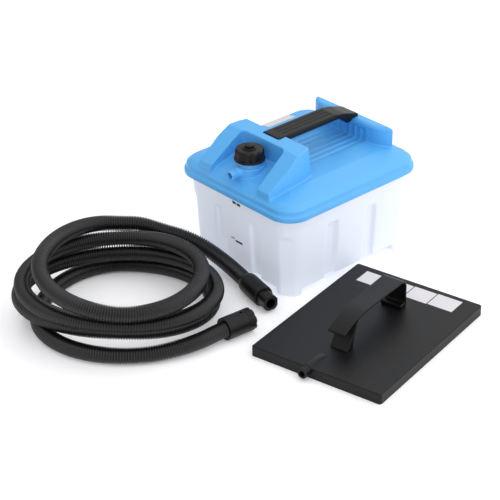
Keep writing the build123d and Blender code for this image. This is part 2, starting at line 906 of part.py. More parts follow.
# Relief spring round the stem, between the retainer and the cap
spring_low = retainer_top + spring_wire
spring_high = cap_inside - spring_wire
spring_count = spring_turns * spring_steps
spring_points = []
spring_rings = []
for step in range(spring_count + 1):
    angle = 2 * math.pi * step / spring_steps
    outward = Vector(math.cos(angle), math.sin(angle), 0)
    climb = spring_low + (spring_high - spring_low) * step / spring_count
    spring_points.append(Vector(0, cap_axis, climb) + outward * spring_radius)
    with BuildSketch(Plane(spring_points[-1], x_dir=outward, z_dir=Vector(0, 0, 1).cross(outward))) as ring:
        Rectangle(spring_wire, spring_wire)
    spring_rings.append(ring.sketch)
with BuildPart() as relief_spring:
    loft(spring_rings, ruled=True)
print("spring gap", round(least_gap(spring_points, spring_wire, 2 * spring_radius), 2))
relief_spring.part.label = "relief_spring"
export_step(relief_spring.part, "parts/relief_spring.step")

# Cover under the rear housing, between the electrics and the water
leg_places = [(sign * element_half, element_leg) for sign in (-1, 1)]
with BuildPart() as housing_cover:
    with BuildSketch(Plane.XY.offset(cover_low)):
        with Locations((0, (cover_front + cover_back) / 2)):
            RectangleRounded(2 * cover_half, cover_back - cover_front, cover_corner)
        with Locations(*leg_places):
            RegularPolygon(element_radius + screw_fit, element_sides, mode=Mode.SUBTRACT)
    extrude(amount=cover_thickness)
housing_cover.part.label = "housing_cover"
export_step(housing_cover.part, "parts/housing_cover.step")

# Gasket and flange of the heating element, under the cover
with BuildPart() as element_gasket:
    with BuildSketch(Plane.XY.offset(cover_low)):
        with Locations((0, element_leg)):
            Rectangle(flange_length, flange_width)
        with Locations(*leg_places):
            RegularPolygon(element_radius + screw_fit, element_sides, mode=Mode.SUBTRACT)
    extrude(amount=-element_gasket_thickness)
element_gasket.part.label = "element_gasket"
export_step(element_gasket.part, "parts/element_gasket.step")

flange_top = cover_low - element_gasket_thickness
with BuildPart() as element_flange:
    with BuildSketch(Plane.XY.offset(flange_top)):
        with Locations((0, element_leg)):
            Rectangle(flange_length, flange_width)
        with Locations(*leg_places):
            RegularPolygon(element_radius + screw_fit, element_sides, mode=Mode.SUBTRACT)
    extrude(amount=-flange_thickness)
element_flange.part.label = "element_flange"
export_step(element_flange.part, "parts/element_flange.step")

# Heating element: one tube down into the tank, round near its floor and up again
element_top = cover_top + nut_height
with BuildPart() as heating_element:
    with BuildLine() as element_path:
        Polyline(
            (-element_half, element_leg, element_top),
            (-element_half, element_leg, element_low + element_bend),
            (-element_half, element_leg - element_bend, element_low),
            (-element_half, element_front + element_bend, element_low),
            (-element_half + element_bend, element_front, element_low),
            (element_half - element_bend, element_front, element_low),
            (element_half, element_front + element_bend, element_low),
            (element_half, element_leg - element_bend, element_low),
            (element_half, element_leg, element_low + element_bend),
            (element_half, element_leg, element_top),
        )
    with BuildSketch(Plane((-element_half, element_leg, element_top), x_dir=(1, 0, 0), z_dir=(0, 0, -1))):
        RegularPolygon(element_radius, element_sides)
    sweep(transition=Transition.RIGHT)
heating_element.part.label = "heating_element"
export_step(heating_element.part, "parts/heating_element.step")

# Nuts on the legs of the element, above the cover
with BuildPart() as element_nuts:
    with BuildSketch(Plane.XY.offset(cover_top)):
        with Locations(*leg_places):
            RegularPolygon(nut_radius, element_sides)
            RegularPolygon(element_radius + screw_fit, element_sides, mode=Mode.SUBTRACT)
    extrude(amount=nut_height)
element_nuts.part.label = "element_nuts"
export_step(element_nuts.part, "parts/element_nuts.step")

# Thermal cut-out and terminal block on the cover
with BuildPart() as thermal_cutout:
    with BuildSketch(Plane.XY.offset(cover_top)):
        with Locations((0, element_leg)):
            RegularPolygon(cutout_radius, seal_sides)
    extrude(amount=cutout_height)
    with BuildSketch(Plane.XY.offset(cover_top)):
        with Locations((0, element_leg)):
            Rectangle(2 * cutout_radius + cutout_height, cutout_height)
    extrude(amount=cutout_height / 2)
thermal_cutout.part.label = "thermal_cutout"
export_step(thermal_cutout.part, "parts/thermal_cutout.step")

with BuildPart() as terminal_block:
    with BuildSketch(Plane.XY.offset(cover_top)):
        with Locations((terminal_place, terminal_row)):
            Rectangle(terminal_length, terminal_width)
    extrude(amount=terminal_height)
    with BuildSketch(Plane.XY.offset(cover_top + terminal_height)):
        with Locations((terminal_place, terminal_row)):
            with GridLocations(terminal_length / 3, 0, 3, 1):
                Rectangle(terminal_width / 2, terminal_width)
    extrude(amount=-terminal_height / 2, mode=Mode.SUBTRACT)
terminal_block.part.label = "terminal_block"
export_step(terminal_block.part, "parts/terminal_block.step")

# Cord gland in the rear wall of the housing
with BuildPart() as cord_gland:
    with BuildSketch(Plane.XZ.offset(-rear_back)):
        with Locations((gland_place, gland_height)):
            RegularPolygon(gland_flange_radius, seal_sides)
    extrude(amount=-gland_flange)
    with BuildSketch(Plane.XZ.offset(-rear_back - gland_flange)):
        with Locations((gland_place, gland_height)):
            RegularPolygon(gland_nose_radius, seal_sides)
    extrude(amount=gland_flange - gland_nose)
    with BuildSketch(Plane.XZ.offset(-rear_back)):
        with Locations((gland_place, gland_height)):
            RegularPolygon(gland_radius, seal_sides)
    extrude(amount=lid_wall + overrun)
    with BuildSketch(Plane.XZ.offset(-rear_back - gland_nose)):
        with Locations((gland_place, gland_height)):
            RegularPolygon(gland_bore, screw_sides)
    extrude(amount=gland_nose + lid_wall + overrun, mode=Mode.SUBTRACT)
cord_gland.part.label = "cord_gland"
export_step(cord_gland.part, "parts/cord_gland.step")

# Hose coil: loose loops piled in layers, from the plate end up to the tank end
coil_keys = (
    (11.0, -134.0, 12.3),
    (-118.0, -22.0, 12.3),
    (-8.0, 113.0, 12.3),
    (134.0, -6.0, 18.5),
    (10.0, -108.0, 35.0),
    (-149.0, -7.0, 39.5),
    (-1.0, 102.0, 37.0),
    (140.0, -19.0, 44.0),
    (8.0, -129.0, 53.0),
    (-143.0, -16.0, 64.5),
    (-1.0, 109.0, 61.5),
    (123.0, -8.0, 69.0),
    (7.5, -138.5, 78.0),
    (-116.0, -33.0, 94.5),
    (-6.0, 128.0, 82.0),
)
coil_points = [coil_point(*key) for key in coil_keys]
tank_route = [
    coil_points[-1],
    Vector(-121.0, -215.0, 72.0),
    Vector(-102.0, -191.0, 62.0),
    Vector(-78.0, -168.0, 50.0),
    Vector(-49.5, -152.6, 37.0),
    Vector(-19.0, -143.5, 25.5),
    Vector(12.6, -142.0, 16.5),
    Vector(68.0, -154.9, 16.5),
]
plate_route = [
    coil_points[0],
    Vector(96.5, -364.0, 12.3),
    Vector(118.5, -309.0, 17.3),
    Vector(124.3, -239.1, 17.3),
]
coil_tangents = []
for number, point in enumerate(coil_points):
    heading = math.radians(coil_turn + 180 - 90 * number)
    coil_tangents.append(Vector(math.cos(heading), math.sin(heading), 0))
coil_tangents[0] = (coil_points[0] - plate_route[1]).normalized()
coil_tangents[-1] = (tank_route[1] - coil_points[-1]).normalized()
with BuildLine() as coil_path:
    biarcs(coil_points, coil_tangents)
coil_places = []
for arc in coil_path.edges():
    for step in range(coil_rings):
        coil_places.append((arc @ (step / coil_rings), arc % (step / coil_rings)))
coil_places.append((coil_points[-1], coil_tangents[-1]))
coil_outline = [hose_ring(*place, hose_coil_radius, hose_sides) for place in coil_places]
coil_hollow = [hose_ring(*place, hose_bore, hose_bore_sides) for place in coil_places]
with BuildPart() as hose_coil:
    loft(coil_outline, ruled=True)
    loft(coil_hollow, ruled=True, mode=Mode.SUBTRACT)
coil_chords = chord_points([spot for spot, ahead in coil_places], coil_samples)
coil_gap = least_gap(coil_chords, 2 * hose_coil_radius, coil_skip)
coil_length = coil_path.wire().length
coil_section = ring_area(hose_coil_radius, hose_sides) - ring_area(hose_bore, hose_bore_sides)
print("coil length", round(coil_length, 1), "least gap to itself", round(coil_gap, 2))
print("coil volume", round(hose_coil.part.volume), "section by length", round(coil_section * coil_length))
print("coil arc radii", [round(arc.radius) for arc in coil_path.edges()])
hose_coil.part.label = "hose_coil"
export_step(hose_coil.part, "parts/hose_coil.step")

# Free ends of the hose, ribbed, each into its cuff
hose_tail_tank = hose_tail(tank_route)
hose_tail_tank.part.label = "hose_tail_tank"
export_step(hose_tail_tank.part, "parts/hose_tail_tank.step")

hose_tail_plate = hose_tail(plate_route)
hose_tail_plate.part.label = "hose_tail_plate"
export_step(hose_tail_plate.part, "parts/hose_tail_plate.step")

# Tank cuff and nozzle, turned about the end of the hose
tank_ahead = (tank_route[-1] - tank_route[-2]).normalized()
tank_cuff_plane = Plane(tank_route[-1] - tank_ahead * hose_socket, x_dir=(0, 0, 1), z_dir=tank_ahead)
nozzle_start = tank_cuff_length - nozzle_root
with BuildPart() as tank_cuff:
    with BuildSketch(tank_cuff_plane):
        RegularPolygon(tank_cuff_rear_radius, cuff_sides)
    with BuildSketch(tank_cuff_plane.offset(tank_cuff_flare)):
        RegularPolygon(tank_cuff_radius, cuff_sides)
    loft(ruled=True)
    with BuildSketch(tank_cuff_plane.offset(tank_cuff_flare)):
        RegularPolygon(tank_cuff_radius, cuff_sides)
    extrude(amount=tank_cuff_length - tank_cuff_flare)
    with BuildSketch(tank_cuff_plane):
        RegularPolygon(hose_crest + hose_socket_gap, cuff_sides, major_radius=False)
    extrude(amount=hose_socket, mode=Mode.SUBTRACT)
    with BuildSketch(tank_cuff_plane):
        RegularPolygon(hose_bore, seal_sides)
    extrude(amount=tank_cuff_length, mode=Mode.SUBTRACT)
    with BuildSketch(tank_cuff_plane.offset(nozzle_start - cuff_seal_thickness)):
        RegularPolygon(nozzle_root_radius + running_fit, seal_sides)
    extrude(amount=nozzle_root + cuff_seal_thickness, mode=Mode.SUBTRACT)
tank_cuff.part.label = "tank_cuff"
export_step(tank_cuff.part, "parts/tank_cuff.step")

with BuildPart() as nozzle_seal:
    with BuildSketch(tank_cuff_plane.offset(nozzle_start - cuff_seal_thickness)):
        RegularPolygon(nozzle_root_radius, seal_sides)
        RegularPolygon(cuff_seal_bore, seal_sides, mode=Mode.SUBTRACT)
    extrude(amount=cuff_seal_thickness)
nozzle_seal.part.label = "nozzle_seal"
export_step(nozzle_seal.part, "parts/nozzle_seal.step")

with BuildPart() as tank_nozzle:
    with BuildSketch(tank_cuff_plane.offset(tank_cuff_length)):
        Circle(nozzle_radius)
        Rectangle(nozzle_flats, nozzle_flats, mode=Mode.INTERSECT)
    extrude(amount=nozzle_length)
    with BuildSketch(tank_cuff_plane.offset(nozzle_start)):
        RegularPolygon(nozzle_root_radius, seal_sides)
    extrude(amount=nozzle_root)
    with BuildSketch(tank_cuff_plane.offset(nozzle_start)):
        RegularPolygon(cuff_seal_bore, seal_sides)
    extrude(amount=nozzle_root + nozzle_length, mode=Mode.SUBTRACT)
    with BuildSketch(tank_cuff_plane.offset(tank_cuff_length + nozzle_length)):
        Circle(socket_radius)
    extrude(amount=-socket_depth, mode=Mode.SUBTRACT)
tank_nozzle.part.label = "tank_nozzle"
export_step(tank_nozzle.part, "parts/tank_nozzle.step")

# Plate cuff with its neck, seal and lock ring
plate_ahead = (plate_route[-1] - plate_route[-2]).normalized()
plate_cuff_plane = Plane(plate_route[-1] - plate_ahead * hose_socket, x_dir=(0, 0, 1), z_dir=plate_ahead)
plate_cuff_end = plate_cuff_length + plate_neck_length
plate_seal_place = plate_cuff_end - plate_socket_depth - cuff_seal_thickness
peep_spot = plate_cuff_plane.origin + plate_ahead * peep_place
with BuildPart() as plate_cuff:
    with BuildSketch(plate_cuff_plane):
        RegularPolygon(plate_cuff_radius, cuff_sides)
    extrude(amount=plate_cuff_length)
    with BuildSketch(plate_cuff_plane.offset(plate_cuff_length)):
        Circle(plate_neck_radius)
    extrude(amount=plate_neck_length)
    with BuildSketch(plate_cuff_plane):
        RegularPolygon(hose_crest + hose_socket_gap, cuff_sides, major_radius=False)
    extrude(amount=hose_socket, mode=Mode.SUBTRACT)
    with BuildSketch(plate_cuff_plane.offset(plate_cuff_end)):
        Circle(socket_radius)
    extrude(amount=-plate_socket_depth, mode=Mode.SUBTRACT)
    with BuildSketch(plate_cuff_plane.offset(plate_seal_place)):
        RegularPolygon(plate_seal_radius + screw_fit, seal_sides)
    extrude(amount=cuff_seal_thickness, mode=Mode.SUBTRACT)
    with BuildSketch(plate_cuff_plane.offset(hose_socket)):
        RegularPolygon(outlet_bore, seal_sides)
    extrude(amount=plate_cuff_end - hose_socket, mode=Mode.SUBTRACT)
    with BuildSketch(Plane(peep_spot, x_dir=plate_ahead, z_dir=(0, 0, 1))):
        RegularPolygon(peep_radius, screw_sides)
    extrude(amount=plate_cuff_radius, mode=Mode.SUBTRACT)
plate_cuff.part.label = "plate_cuff"
export_step(plate_cuff.part, "parts/plate_cuff.step")

with BuildPart() as plate_cuff_seal:
    with BuildSketch(plate_cuff_plane.offset(plate_seal_place)):
        RegularPolygon(plate_seal_radius, seal_sides)
        RegularPolygon(outlet_bore, seal_sides, mode=Mode.SUBTRACT)
    extrude(amount=cuff_seal_thickness)
plate_cuff_seal.part.label = "plate_cuff_seal"
export_step(plate_cuff_seal.part, "parts/plate_cuff_seal.step")

with BuildPart() as plate_lock_ring:
    with BuildSketch(plate_cuff_plane.offset(plate_cuff_length + ring_gap)):
        RegularPolygon(plate_cuff_radius, cuff_sides)
        Circle(plate_neck_radius + running_fit, mode=Mode.SUBTRACT)
    extrude(amount=ring_length)
    with BuildSketch(plate_cuff_plane.offset(plate_cuff_length + ring_gap + ring_lip)):
        with PolarLocations(plate_cuff_radius, ring_notches):
            Rectangle(2 * ring_notch_depth, ring_notch_width)
    extrude(amount=ring_length - ring_lip, mode=Mode.SUBTRACT)
plate_lock_ring.part.label = "plate_lock_ring"
export_step(plate_lock_ring.part, "parts/plate_lock_ring.step")

# Steam plate: open tray with inner ribs and a moulded inlet
turn = math.radians(plate_turn)
plate_plane = Plane((*plate_centre, 0), x_dir=(math.cos(turn), math.sin(turn), 0), z_dir=(0, 0, 1))
plate_side = Plane((*plate_centre, 0), x_dir=plate_plane.y_dir, z_dir=plate_plane.x_dir)
plate_front = Plane((*plate_centre, 0), x_dir=plate_plane.x_dir, z_dir=-plate_plane.y_dir)
tray_top = plate_height - plate_wall
front_block = leg_foot + leg_thickness + foot_block_depth / 2
rear_block = grip_rear - grip_thickness - foot_block_depth / 2
grip_screw_rows = (front_block, rear_block)
grip_screw_places = [(sign * grip_screw_half, row) for sign in (-1, 1) for row in grip_screw_rows]
with BuildPart() as steam_plate:
    with BuildSketch(plate_plane):
        RectangleRounded(plate_width, plate_length, plate_corner)
    extrude(amount=plate_height)
    chamfer(steam_plate.edges().group_by(Axis.Z)[-1], length=plate_chamfer)
    with BuildSketch(plate_plane):
        RectangleRounded(plate_width - 2 * plate_wall, plate_length - 2 * plate_wall, plate_corner - plate_wall)
    extrude(amount=tray_top, mode=Mode.SUBTRACT)
    with BuildSketch(plate_plane.offset(tray_top)):
        with Locations(*[(place, 0) for place in plate_rib_places]):
            Rectangle(plate_rib_width, plate_length - 2 * plate_wall)
        with Locations(*[(0, place) for place in plate_rib_places]):
            Rectangle(plate_width - 2 * plate_wall, plate_rib_width)
    extrude(amount=-plate_rib_height)
    with BuildSketch(plate_front.offset(-inlet_root)):
        with Locations((inlet_place, inlet_height)):
            Circle(inlet_root_radius)
    extrude(amount=inlet_root + plate_length / 2)
    with BuildSketch(plate_front.offset(plate_length / 2)):
        with Locations((inlet_place, inlet_height)):
            Circle(spigot_radius)
    extrude(amount=-plate_length / 2 - inlet_end)
    with BuildSketch(plate_side.offset(inlet_place)):
        with BuildLine():
            Polyline(
                (inlet_root, plate_height),
                (inlet_root, inlet_height + inlet_root_radius + overrun),
                (inlet_root - inlet_fade, inlet_height + inlet_root_radius),
                close=True,
            )
        make_face()
    extrude(amount=inlet_root_radius, both=True, mode=Mode.SUBTRACT)
    with BuildSketch(plate_front.offset(-inlet_root)):
        with Locations((inlet_place, inlet_height)):
            Circle(inlet_bore)
    extrude(amount=inlet_root - inlet_end, mode=Mode.SUBTRACT)
    with BuildSketch(plate_plane.offset(tray_top)):
        with Locations(*grip_screw_places):
            RegularPolygon(grip_screw_radius + screw_fit, screw_sides)
    extrude(amount=plate_wall, mode=Mode.SUBTRACT)
steam_plate.part.label = "steam_plate"
export_step(steam_plate.part, "parts/steam_plate.step")

# Plate handle: bent strap, curved front leg and foot blocks
with BuildPart() as plate_handle:
    with BuildSketch(plate_side):
        with BuildLine():
            over = ThreePointArc(
                (grip_front, grip_front_height + grip_thickness),
                (grip_mid, grip_mid_height + grip_thickness),
                (grip_level, grip_top),
            )
            flat = Line(over @ 1, (grip_rear - grip_bend, grip_top))
            bend = TangentArc(flat @ 1, (grip_rear, grip_top - grip_bend), tangent=(1, 0))
            outside = Line(bend @ 1, (grip_rear, plate_height))
            foot = Line(outside @ 1, (grip_rear - grip_thickness, plate_height))
            inside = Line(foot @ 1, (grip_rear - grip_thickness, grip_top - grip_bend))
            turn_in = TangentArc(inside @ 1, (grip_rear - grip_bend, grip_top - grip_thickness), tangent=(0, 1))
            under = Line(turn_in @ 1, (grip_level, grip_top - grip_thickness))
            curve = ThreePointArc(under @ 1, (grip_mid, grip_mid_height), (grip_front, grip_front_height))
            Line(curve @ 1, over @ 0)
        make_face()
        with BuildLine():
            shin = ThreePointArc(
                (leg_top, grip_top - grip_thickness),
                (leg_mid, leg_mid_height),
                (leg_foot, plate_height),
            )
            heel = Line(shin @ 1, (leg_foot + leg_thickness + foot_block_depth, plate_height))
            step = Line(heel @ 1, heel @ 1 + Vector(0, foot_block_height))
            calf = ThreePointArc(
                step @ 1,
                (leg_mid + leg_thickness, leg_mid_height),
                (leg_top + leg_thickness, grip_top - grip_thickness),
            )
            Line(calf @ 1, shin @ 0)
        make_face()
        with Locations((rear_block, plate_height + foot_block_height / 2)):
            Rectangle(foot_block_depth, foot_block_height)
    extrude(amount=grip_rear_width, both=True)
    with BuildSketch(plate_plane):
        with BuildLine():
            Polyline(
                (-grip_front_width / 2, grip_front),
                (grip_front_width / 2, grip_front),
                (grip_rear_width / 2, grip_rear),
                (-grip_rear_width / 2, grip_rear),
                close=True,
            )
        make_face()
    extrude(amount=grip_top + overrun, mode=Mode.INTERSECT)
    with BuildSketch(plate_plane.offset(plate_height)):
        with Locations(*grip_screw_places):
            RegularPolygon(grip_screw_radius + screw_fit, screw_sides)
    extrude(amount=grip_screw_bite, mode=Mode.SUBTRACT)
plate_handle.part.label = "plate_handle"
export_step(plate_handle.part, "parts/plate_handle.step")

# Screws from under the plate into the handle's foot blocks
with BuildPart() as plate_handle_screws:
    with BuildSketch(plate_plane.offset(tray_top)):
        with Locations(*grip_screw_places):
            RegularPolygon(grip_screw_head, screw_sides)
    extrude(amount=-grip_screw_head_height)
    with BuildSketch(plate_plane.offset(tray_top)):
        with Locations(*grip_screw_places):
            RegularPolygon(grip_screw_radius, screw_sides)
    extrude(amount=plate_wall + grip_screw_bite - overrun)
plate_handle_screws.part.label = "plate_handle_screws"
export_step(plate_handle_screws.part, "parts/plate_handle_screws.step")
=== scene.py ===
"""Looks of a wallpaper steamer set: tank, lid, steam hose and steam plate.

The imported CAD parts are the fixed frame. This script gives them their materials, adds the ribbed
hose and the small surface details, and sets the studio light and the camera.
"""

import json
import logging
import math
from collections.abc import Callable
from dataclasses import dataclass, field
from enum import Enum

import bmesh
import bpy
from mathutils import Matrix, Vector

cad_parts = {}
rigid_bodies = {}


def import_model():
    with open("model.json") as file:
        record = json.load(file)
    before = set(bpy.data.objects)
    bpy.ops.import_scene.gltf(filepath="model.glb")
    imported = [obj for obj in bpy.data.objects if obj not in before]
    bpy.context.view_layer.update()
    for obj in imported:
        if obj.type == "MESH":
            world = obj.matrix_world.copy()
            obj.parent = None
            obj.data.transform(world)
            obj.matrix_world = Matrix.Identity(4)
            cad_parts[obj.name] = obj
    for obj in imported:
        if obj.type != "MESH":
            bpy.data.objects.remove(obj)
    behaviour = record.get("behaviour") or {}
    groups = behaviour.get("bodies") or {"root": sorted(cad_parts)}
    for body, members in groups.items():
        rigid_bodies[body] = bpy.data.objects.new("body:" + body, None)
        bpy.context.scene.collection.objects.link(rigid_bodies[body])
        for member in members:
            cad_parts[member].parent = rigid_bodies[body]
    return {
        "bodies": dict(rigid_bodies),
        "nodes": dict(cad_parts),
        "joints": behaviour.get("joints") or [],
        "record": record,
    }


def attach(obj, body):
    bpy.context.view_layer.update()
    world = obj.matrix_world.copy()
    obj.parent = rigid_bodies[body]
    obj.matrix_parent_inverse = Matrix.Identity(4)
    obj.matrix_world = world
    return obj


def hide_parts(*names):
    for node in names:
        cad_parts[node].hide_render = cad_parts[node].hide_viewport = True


LOG = logging.getLogger("steamer")
MM = 0.001


class Body(str, Enum):
    """Rigid bodies of the set that pieces ride on."""

    TANK = "tank_unit"
    CAP = "cap_body"
    PLUNGER = "relief_plunger"
    HOSE = "hose_set"
    RING = "lock_ring"
    PLATE = "plate_set"


class Slot(str, Enum):
    """Material slots of the record."""

    TANK = "tank_shell"
    LID = "lid_shell"
    TRIM = "black_trim"
    HOSE = "hose_skin"
    CUFF = "cuff_skin"
    PLATE = "plate_shell"
    PLATE_TRIM = "plate_trim"


def linear_colour(hex_colour: str) -> tuple[float, float, float, float]:
    """Convert an sRGB hex colour to linear RGBA.

    Args:
        hex_colour: Six hex digits, with or without a leading hash sign.

    Returns:
        Linear red, green, blue and an alpha of one.
    """
    digits = hex_colour.lstrip("#")
    values = [int(digits[i : i + 2], 16) / 255 for i in (0, 2, 4)]
    linear = [v / 12.92 if v <= 0.04045 else ((v + 0.055) / 1.055) ** 2.4 for v in values]
    return (*linear, 1.0)


def feed(tree: bpy.types.NodeTree, node: bpy.types.Node, inputs: dict) -> None:
    """Give the inputs of a node their values or links.

    Args:
        tree: Node tree that holds the node.
        node: The node.
        inputs: Name or number of each input, with its value or the output that feeds it.
    """
    for name, value in inputs.items():
        if isinstance(value, bpy.types.NodeSocket):
            tree.links.new(value, node.inputs[name])
        else:
            node.inputs[name].default_value = value


def add_node(tree: bpy.types.NodeTree, kind: str, inputs: dict, **settings: str) -> bpy.types.Node:
    """Add one shader node with its settings and links.

    Args:
        tree: Node tree that takes the node.
        kind: Blender's name for the node type.
        inputs: Name or number of each input, with its value or the output that feeds it.
        settings: Settings of the node itself.

    Returns:
        The new node.
    """
    node = tree.nodes.new(kind)
    for name, value in settings.items():
        setattr(node, name, value)
    feed(tree, node, inputs)
    return node


@dataclass(frozen=True)
class Finish:
    """Surface finish of one real material.

    Attributes:
        name: Name of the real material.
        colour: sRGB hex colour.
        roughness: Roughness of the surface.
        specular: Level of the reflections.
        metallic: One for a bare metal.
        grain_mm: Size of the moulded grain in millimetres, or zero for none.
        grain_depth: Strength of the grain.
        grain_detail: Finer layers within the grain.
        glow: Share of light that passes through a thin wall.
        lamp: Light that the surface gives off by itself.
    """

    name: str
    colour: str
    roughness: float
    specular: float = 0.5
    metallic: float = 0.0
    grain_mm: float = 0.0
    grain_depth: float = 0.1
    grain_detail: float = 2.0
    glow: float = 0.0
    lamp: float = 0.0

    def material(self) -> bpy.types.Material:
        """Build the material once and return it after that.

        Returns:
            The material of this finish.
        """
        found = bpy.data.materials.get(self.name)
        if found:
            return found
        colour = linear_colour(self.colour)
        made = bpy.data.materials.new(self.name)
        made.use_nodes = True
        made.diffuse_color = colour
        tree = made.node_tree
        shader = tree.nodes["Principled BSDF"]
        feed(
            tree,
            shader,
            {
                "Base Color": colour,
                "Roughness": self.roughness,
                "Specular IOR Level": self.specular,
                "Metallic": self.metallic,
                "Emission Color": colour,
                "Emission Strength": self.lamp,
            },
        )
        if self.grain_mm:
            size = self.grain_mm * MM
            place = add_node(tree, "ShaderNodeTexCoord", {}).outputs["Object"]
            grain = {"Vector": place, "Scale": 1 / size, "Detail": self.grain_detail}
            noise = add_node(tree, "ShaderNodeTexNoise", grain).outputs["Fac"]
            relief = {"Strength": self.grain_depth, "Distance": size, "Height": noise}
            bump = add_node(tree, "ShaderNodeBump", relief)
            feed(tree, shader, {"Normal": bump.outputs["Normal"]})
        if self.glow:
            through = add_node(tree, "ShaderNodeBsdfTranslucent", {"Color": colour})
            shares = {"Fac": self.glow, 1: shader.outputs["BSDF"], 2: through.outputs["BSDF"]}
            mix = add_node(tree, "ShaderNodeMixShader", shares)
            feed(tree, tree.nodes["Material Output"], {"Surface": mix.outputs["Shader"]})
        return made


# Natural polypropylene of the tank, moulded: milky white that lets a little light through, with a painted
# glow (its lamp value) that lightens its shaded walls as if lit from inside
TANK_SKIN = Finish("natural polypropylene", "#c8ced9", 0.42, specular=0.4, glow=0.04, lamp=0.44)
# Pigmented polypropylene of the lid, moulded with a faint grain: clear blue with soft highlights
LID_SKIN = Finish("blue polypropylene", "#52abec", 0.4, specular=0.55, grain_mm=0.6, grain_depth=0.04)
# Glass-filled nylon of the handles, cap and cuffs, moulded with a grain: deep black with a dull sheen
NYLON = Finish("black nylon", "#08080a", 0.4, specular=0.28, grain_mm=0.5, grain_depth=0.1)
# Flexible polyethylene of the hose, extruded smooth: black with a bright line on each rib
HOSE_SKIN = Finish("black hose polyethylene", "#0c0c0f", 0.32, specular=0.46)
# Polypropylene of the steam plate, moulded with a fine grain: matt black
PLATE_SKIN = Finish("black polypropylene", "#0a0a0c", 0.46, specular=0.28, grain_mm=0.5, grain_depth=0.1)
# Silicone rubber of the seals, pressed: dark and matt
RUBBER = Finish("silicone rubber", "#202022", 0.7)
# Zinc plated steel of the screws and the relief spring: bright and slightly cool
STEEL = Finish("zinc plated steel", "#b4b6ba", 0.3, metallic=1.0)
# Drawn stainless steel of the heating element: greyer and a little duller than the plating
SHEATH = Finish("drawn stainless steel", "#a8aaae", 0.35, metallic=1.0)
# Turned brass of the element's flange and nuts: warm yellow with clear reflections
BRASS = Finish("brass", "#c8a45a", 0.3, metallic=1.0)
# Moulded grey nylon inside the housing: plain mid grey
GREY_MOULDING = Finish("grey nylon", "#5a5b60", 0.5)
# Moulded cream nylon of the terminal block: plain pale cream
CREAM_MOULDING = Finish("cream nylon", "#d8d2bc", 0.5)
# Coated paper of the bare labels: even off-white with a slight sheen
LABEL = Finish("coated white label", "#d6d2d6", 0.4)
# Printed ink of the level marks: flat dark grey
INK = Finish("grey level ink", "#34363c", 0.6)
# Back-lit acrylic of the studio table: even white that still shows soft shadows
FLOOR = Finish("lit white acrylic table", "#f6f6f8", 0.9, specular=0.1, lamp=0.2)


def dress(node: bpy.types.Object, finish: Finish) -> None:
    """Give a CAD node its material.

    Args:
        node: CAD node, whose shape stays as it is.
        finish: Finish that it gets.
    """
    node.data.materials.clear()
    node.data.materials.append(finish.material())
    LOG.info("dressed %s as %s", node.name, finish.name)


def add_object(name: str, mesh: bpy.types.Mesh, finish: Finish) -> bpy.types.Object:
    """Link a mesh as an object at the origin.

    Args:
        name: Name of the object.
        mesh: Its mesh, in metres in the shared frame.
        finish: Finish that it gets.

    Returns:
        The new object.
    """
    mesh.materials.clear()
    mesh.materials.append(finish.material())
    made = bpy.data.objects.new(name, mesh)
    bpy.context.scene.collection.objects.link(made)
    LOG.info("built %s with %d faces", name, len(mesh.polygons))
    return made


def face_outwards(form: bmesh.types.BMesh) -> None:
    """Turn the faces of a closed form outwards.

    Args:
        form: The form, with its doubles merged.
    """
    bmesh.ops.recalc_face_normals(form, faces=form.faces)
    if form.calc_volume(signed=True) < 0:
        bmesh.ops.reverse_faces(form, faces=form.faces)


def finished(form: bmesh.types.BMesh, name: str, smooth: bool = False) -> bpy.types.Mesh:
    """Turn a bmesh into a mesh.

    Args:
        form: The bmesh, which is used up.
        name: Name of the mesh.
        smooth: Whether its faces are shaded smooth.

    Returns:
        The mesh.
    """
    for face in form.faces:
        face.smooth = smooth
    mesh = bpy.data.meshes.new(name)
    form.to_mesh(mesh)
    form.free()
    return mesh


def evaluated(carrier: bpy.types.Object) -> bpy.types.Mesh:
    """Read the mesh that an object gives, and remove the object.

    Args:
        carrier: Object of a mesh with modifiers, or of a curve.

    Returns:
        The mesh.
    """
    bpy.context.scene.collection.objects.link(carrier)
    bpy.context.view_layer.update()
    made = bpy.data.meshes.new_from_object(carrier.evaluated_get(bpy.context.evaluated_depsgraph_get()))
    bpy.data.objects.remove(carrier)
    return made


def modified(mesh: bpy.types.Mesh, kind: str, **values) -> bpy.types.Mesh:
    """Run one modifier over a mesh.

    Args:
        mesh: The mesh, which is used up.
        kind: Blender's name for the modifier type.
        values: Settings of the modifier.

    Returns:
        The new mesh, with the same name.
    """
    name = mesh.name
    carrier = bpy.data.objects.new(name, mesh)
    modifier = carrier.modifiers.new(kind, kind)
    for setting, value in values.items():
        setattr(modifier, setting, value)
    made = evaluated(carrier)
    bpy.data.meshes.remove(mesh)
    made.name = name
    return made


def turned(x: float, y: float, middle: tuple[float, float], degrees: float) -> tuple[float, float]:
    """Place a point of a piece that lies turned on the floor.

    Args:
        x: Distance across from the middle of the piece in mm.
        y: Distance away from the middle of the piece in mm.
        middle: Middle of the piece on the floor in mm.
        degrees: Turn of the piece about Z.

    Returns:
        The place in the shared frame in mm.
    """
    turn = math.radians(degrees)
    across = middle[0] + x * math.cos(turn) - y * math.sin(turn)
    along = middle[1] + x * math.sin(turn) + y * math.cos(turn)
    return (across, along)


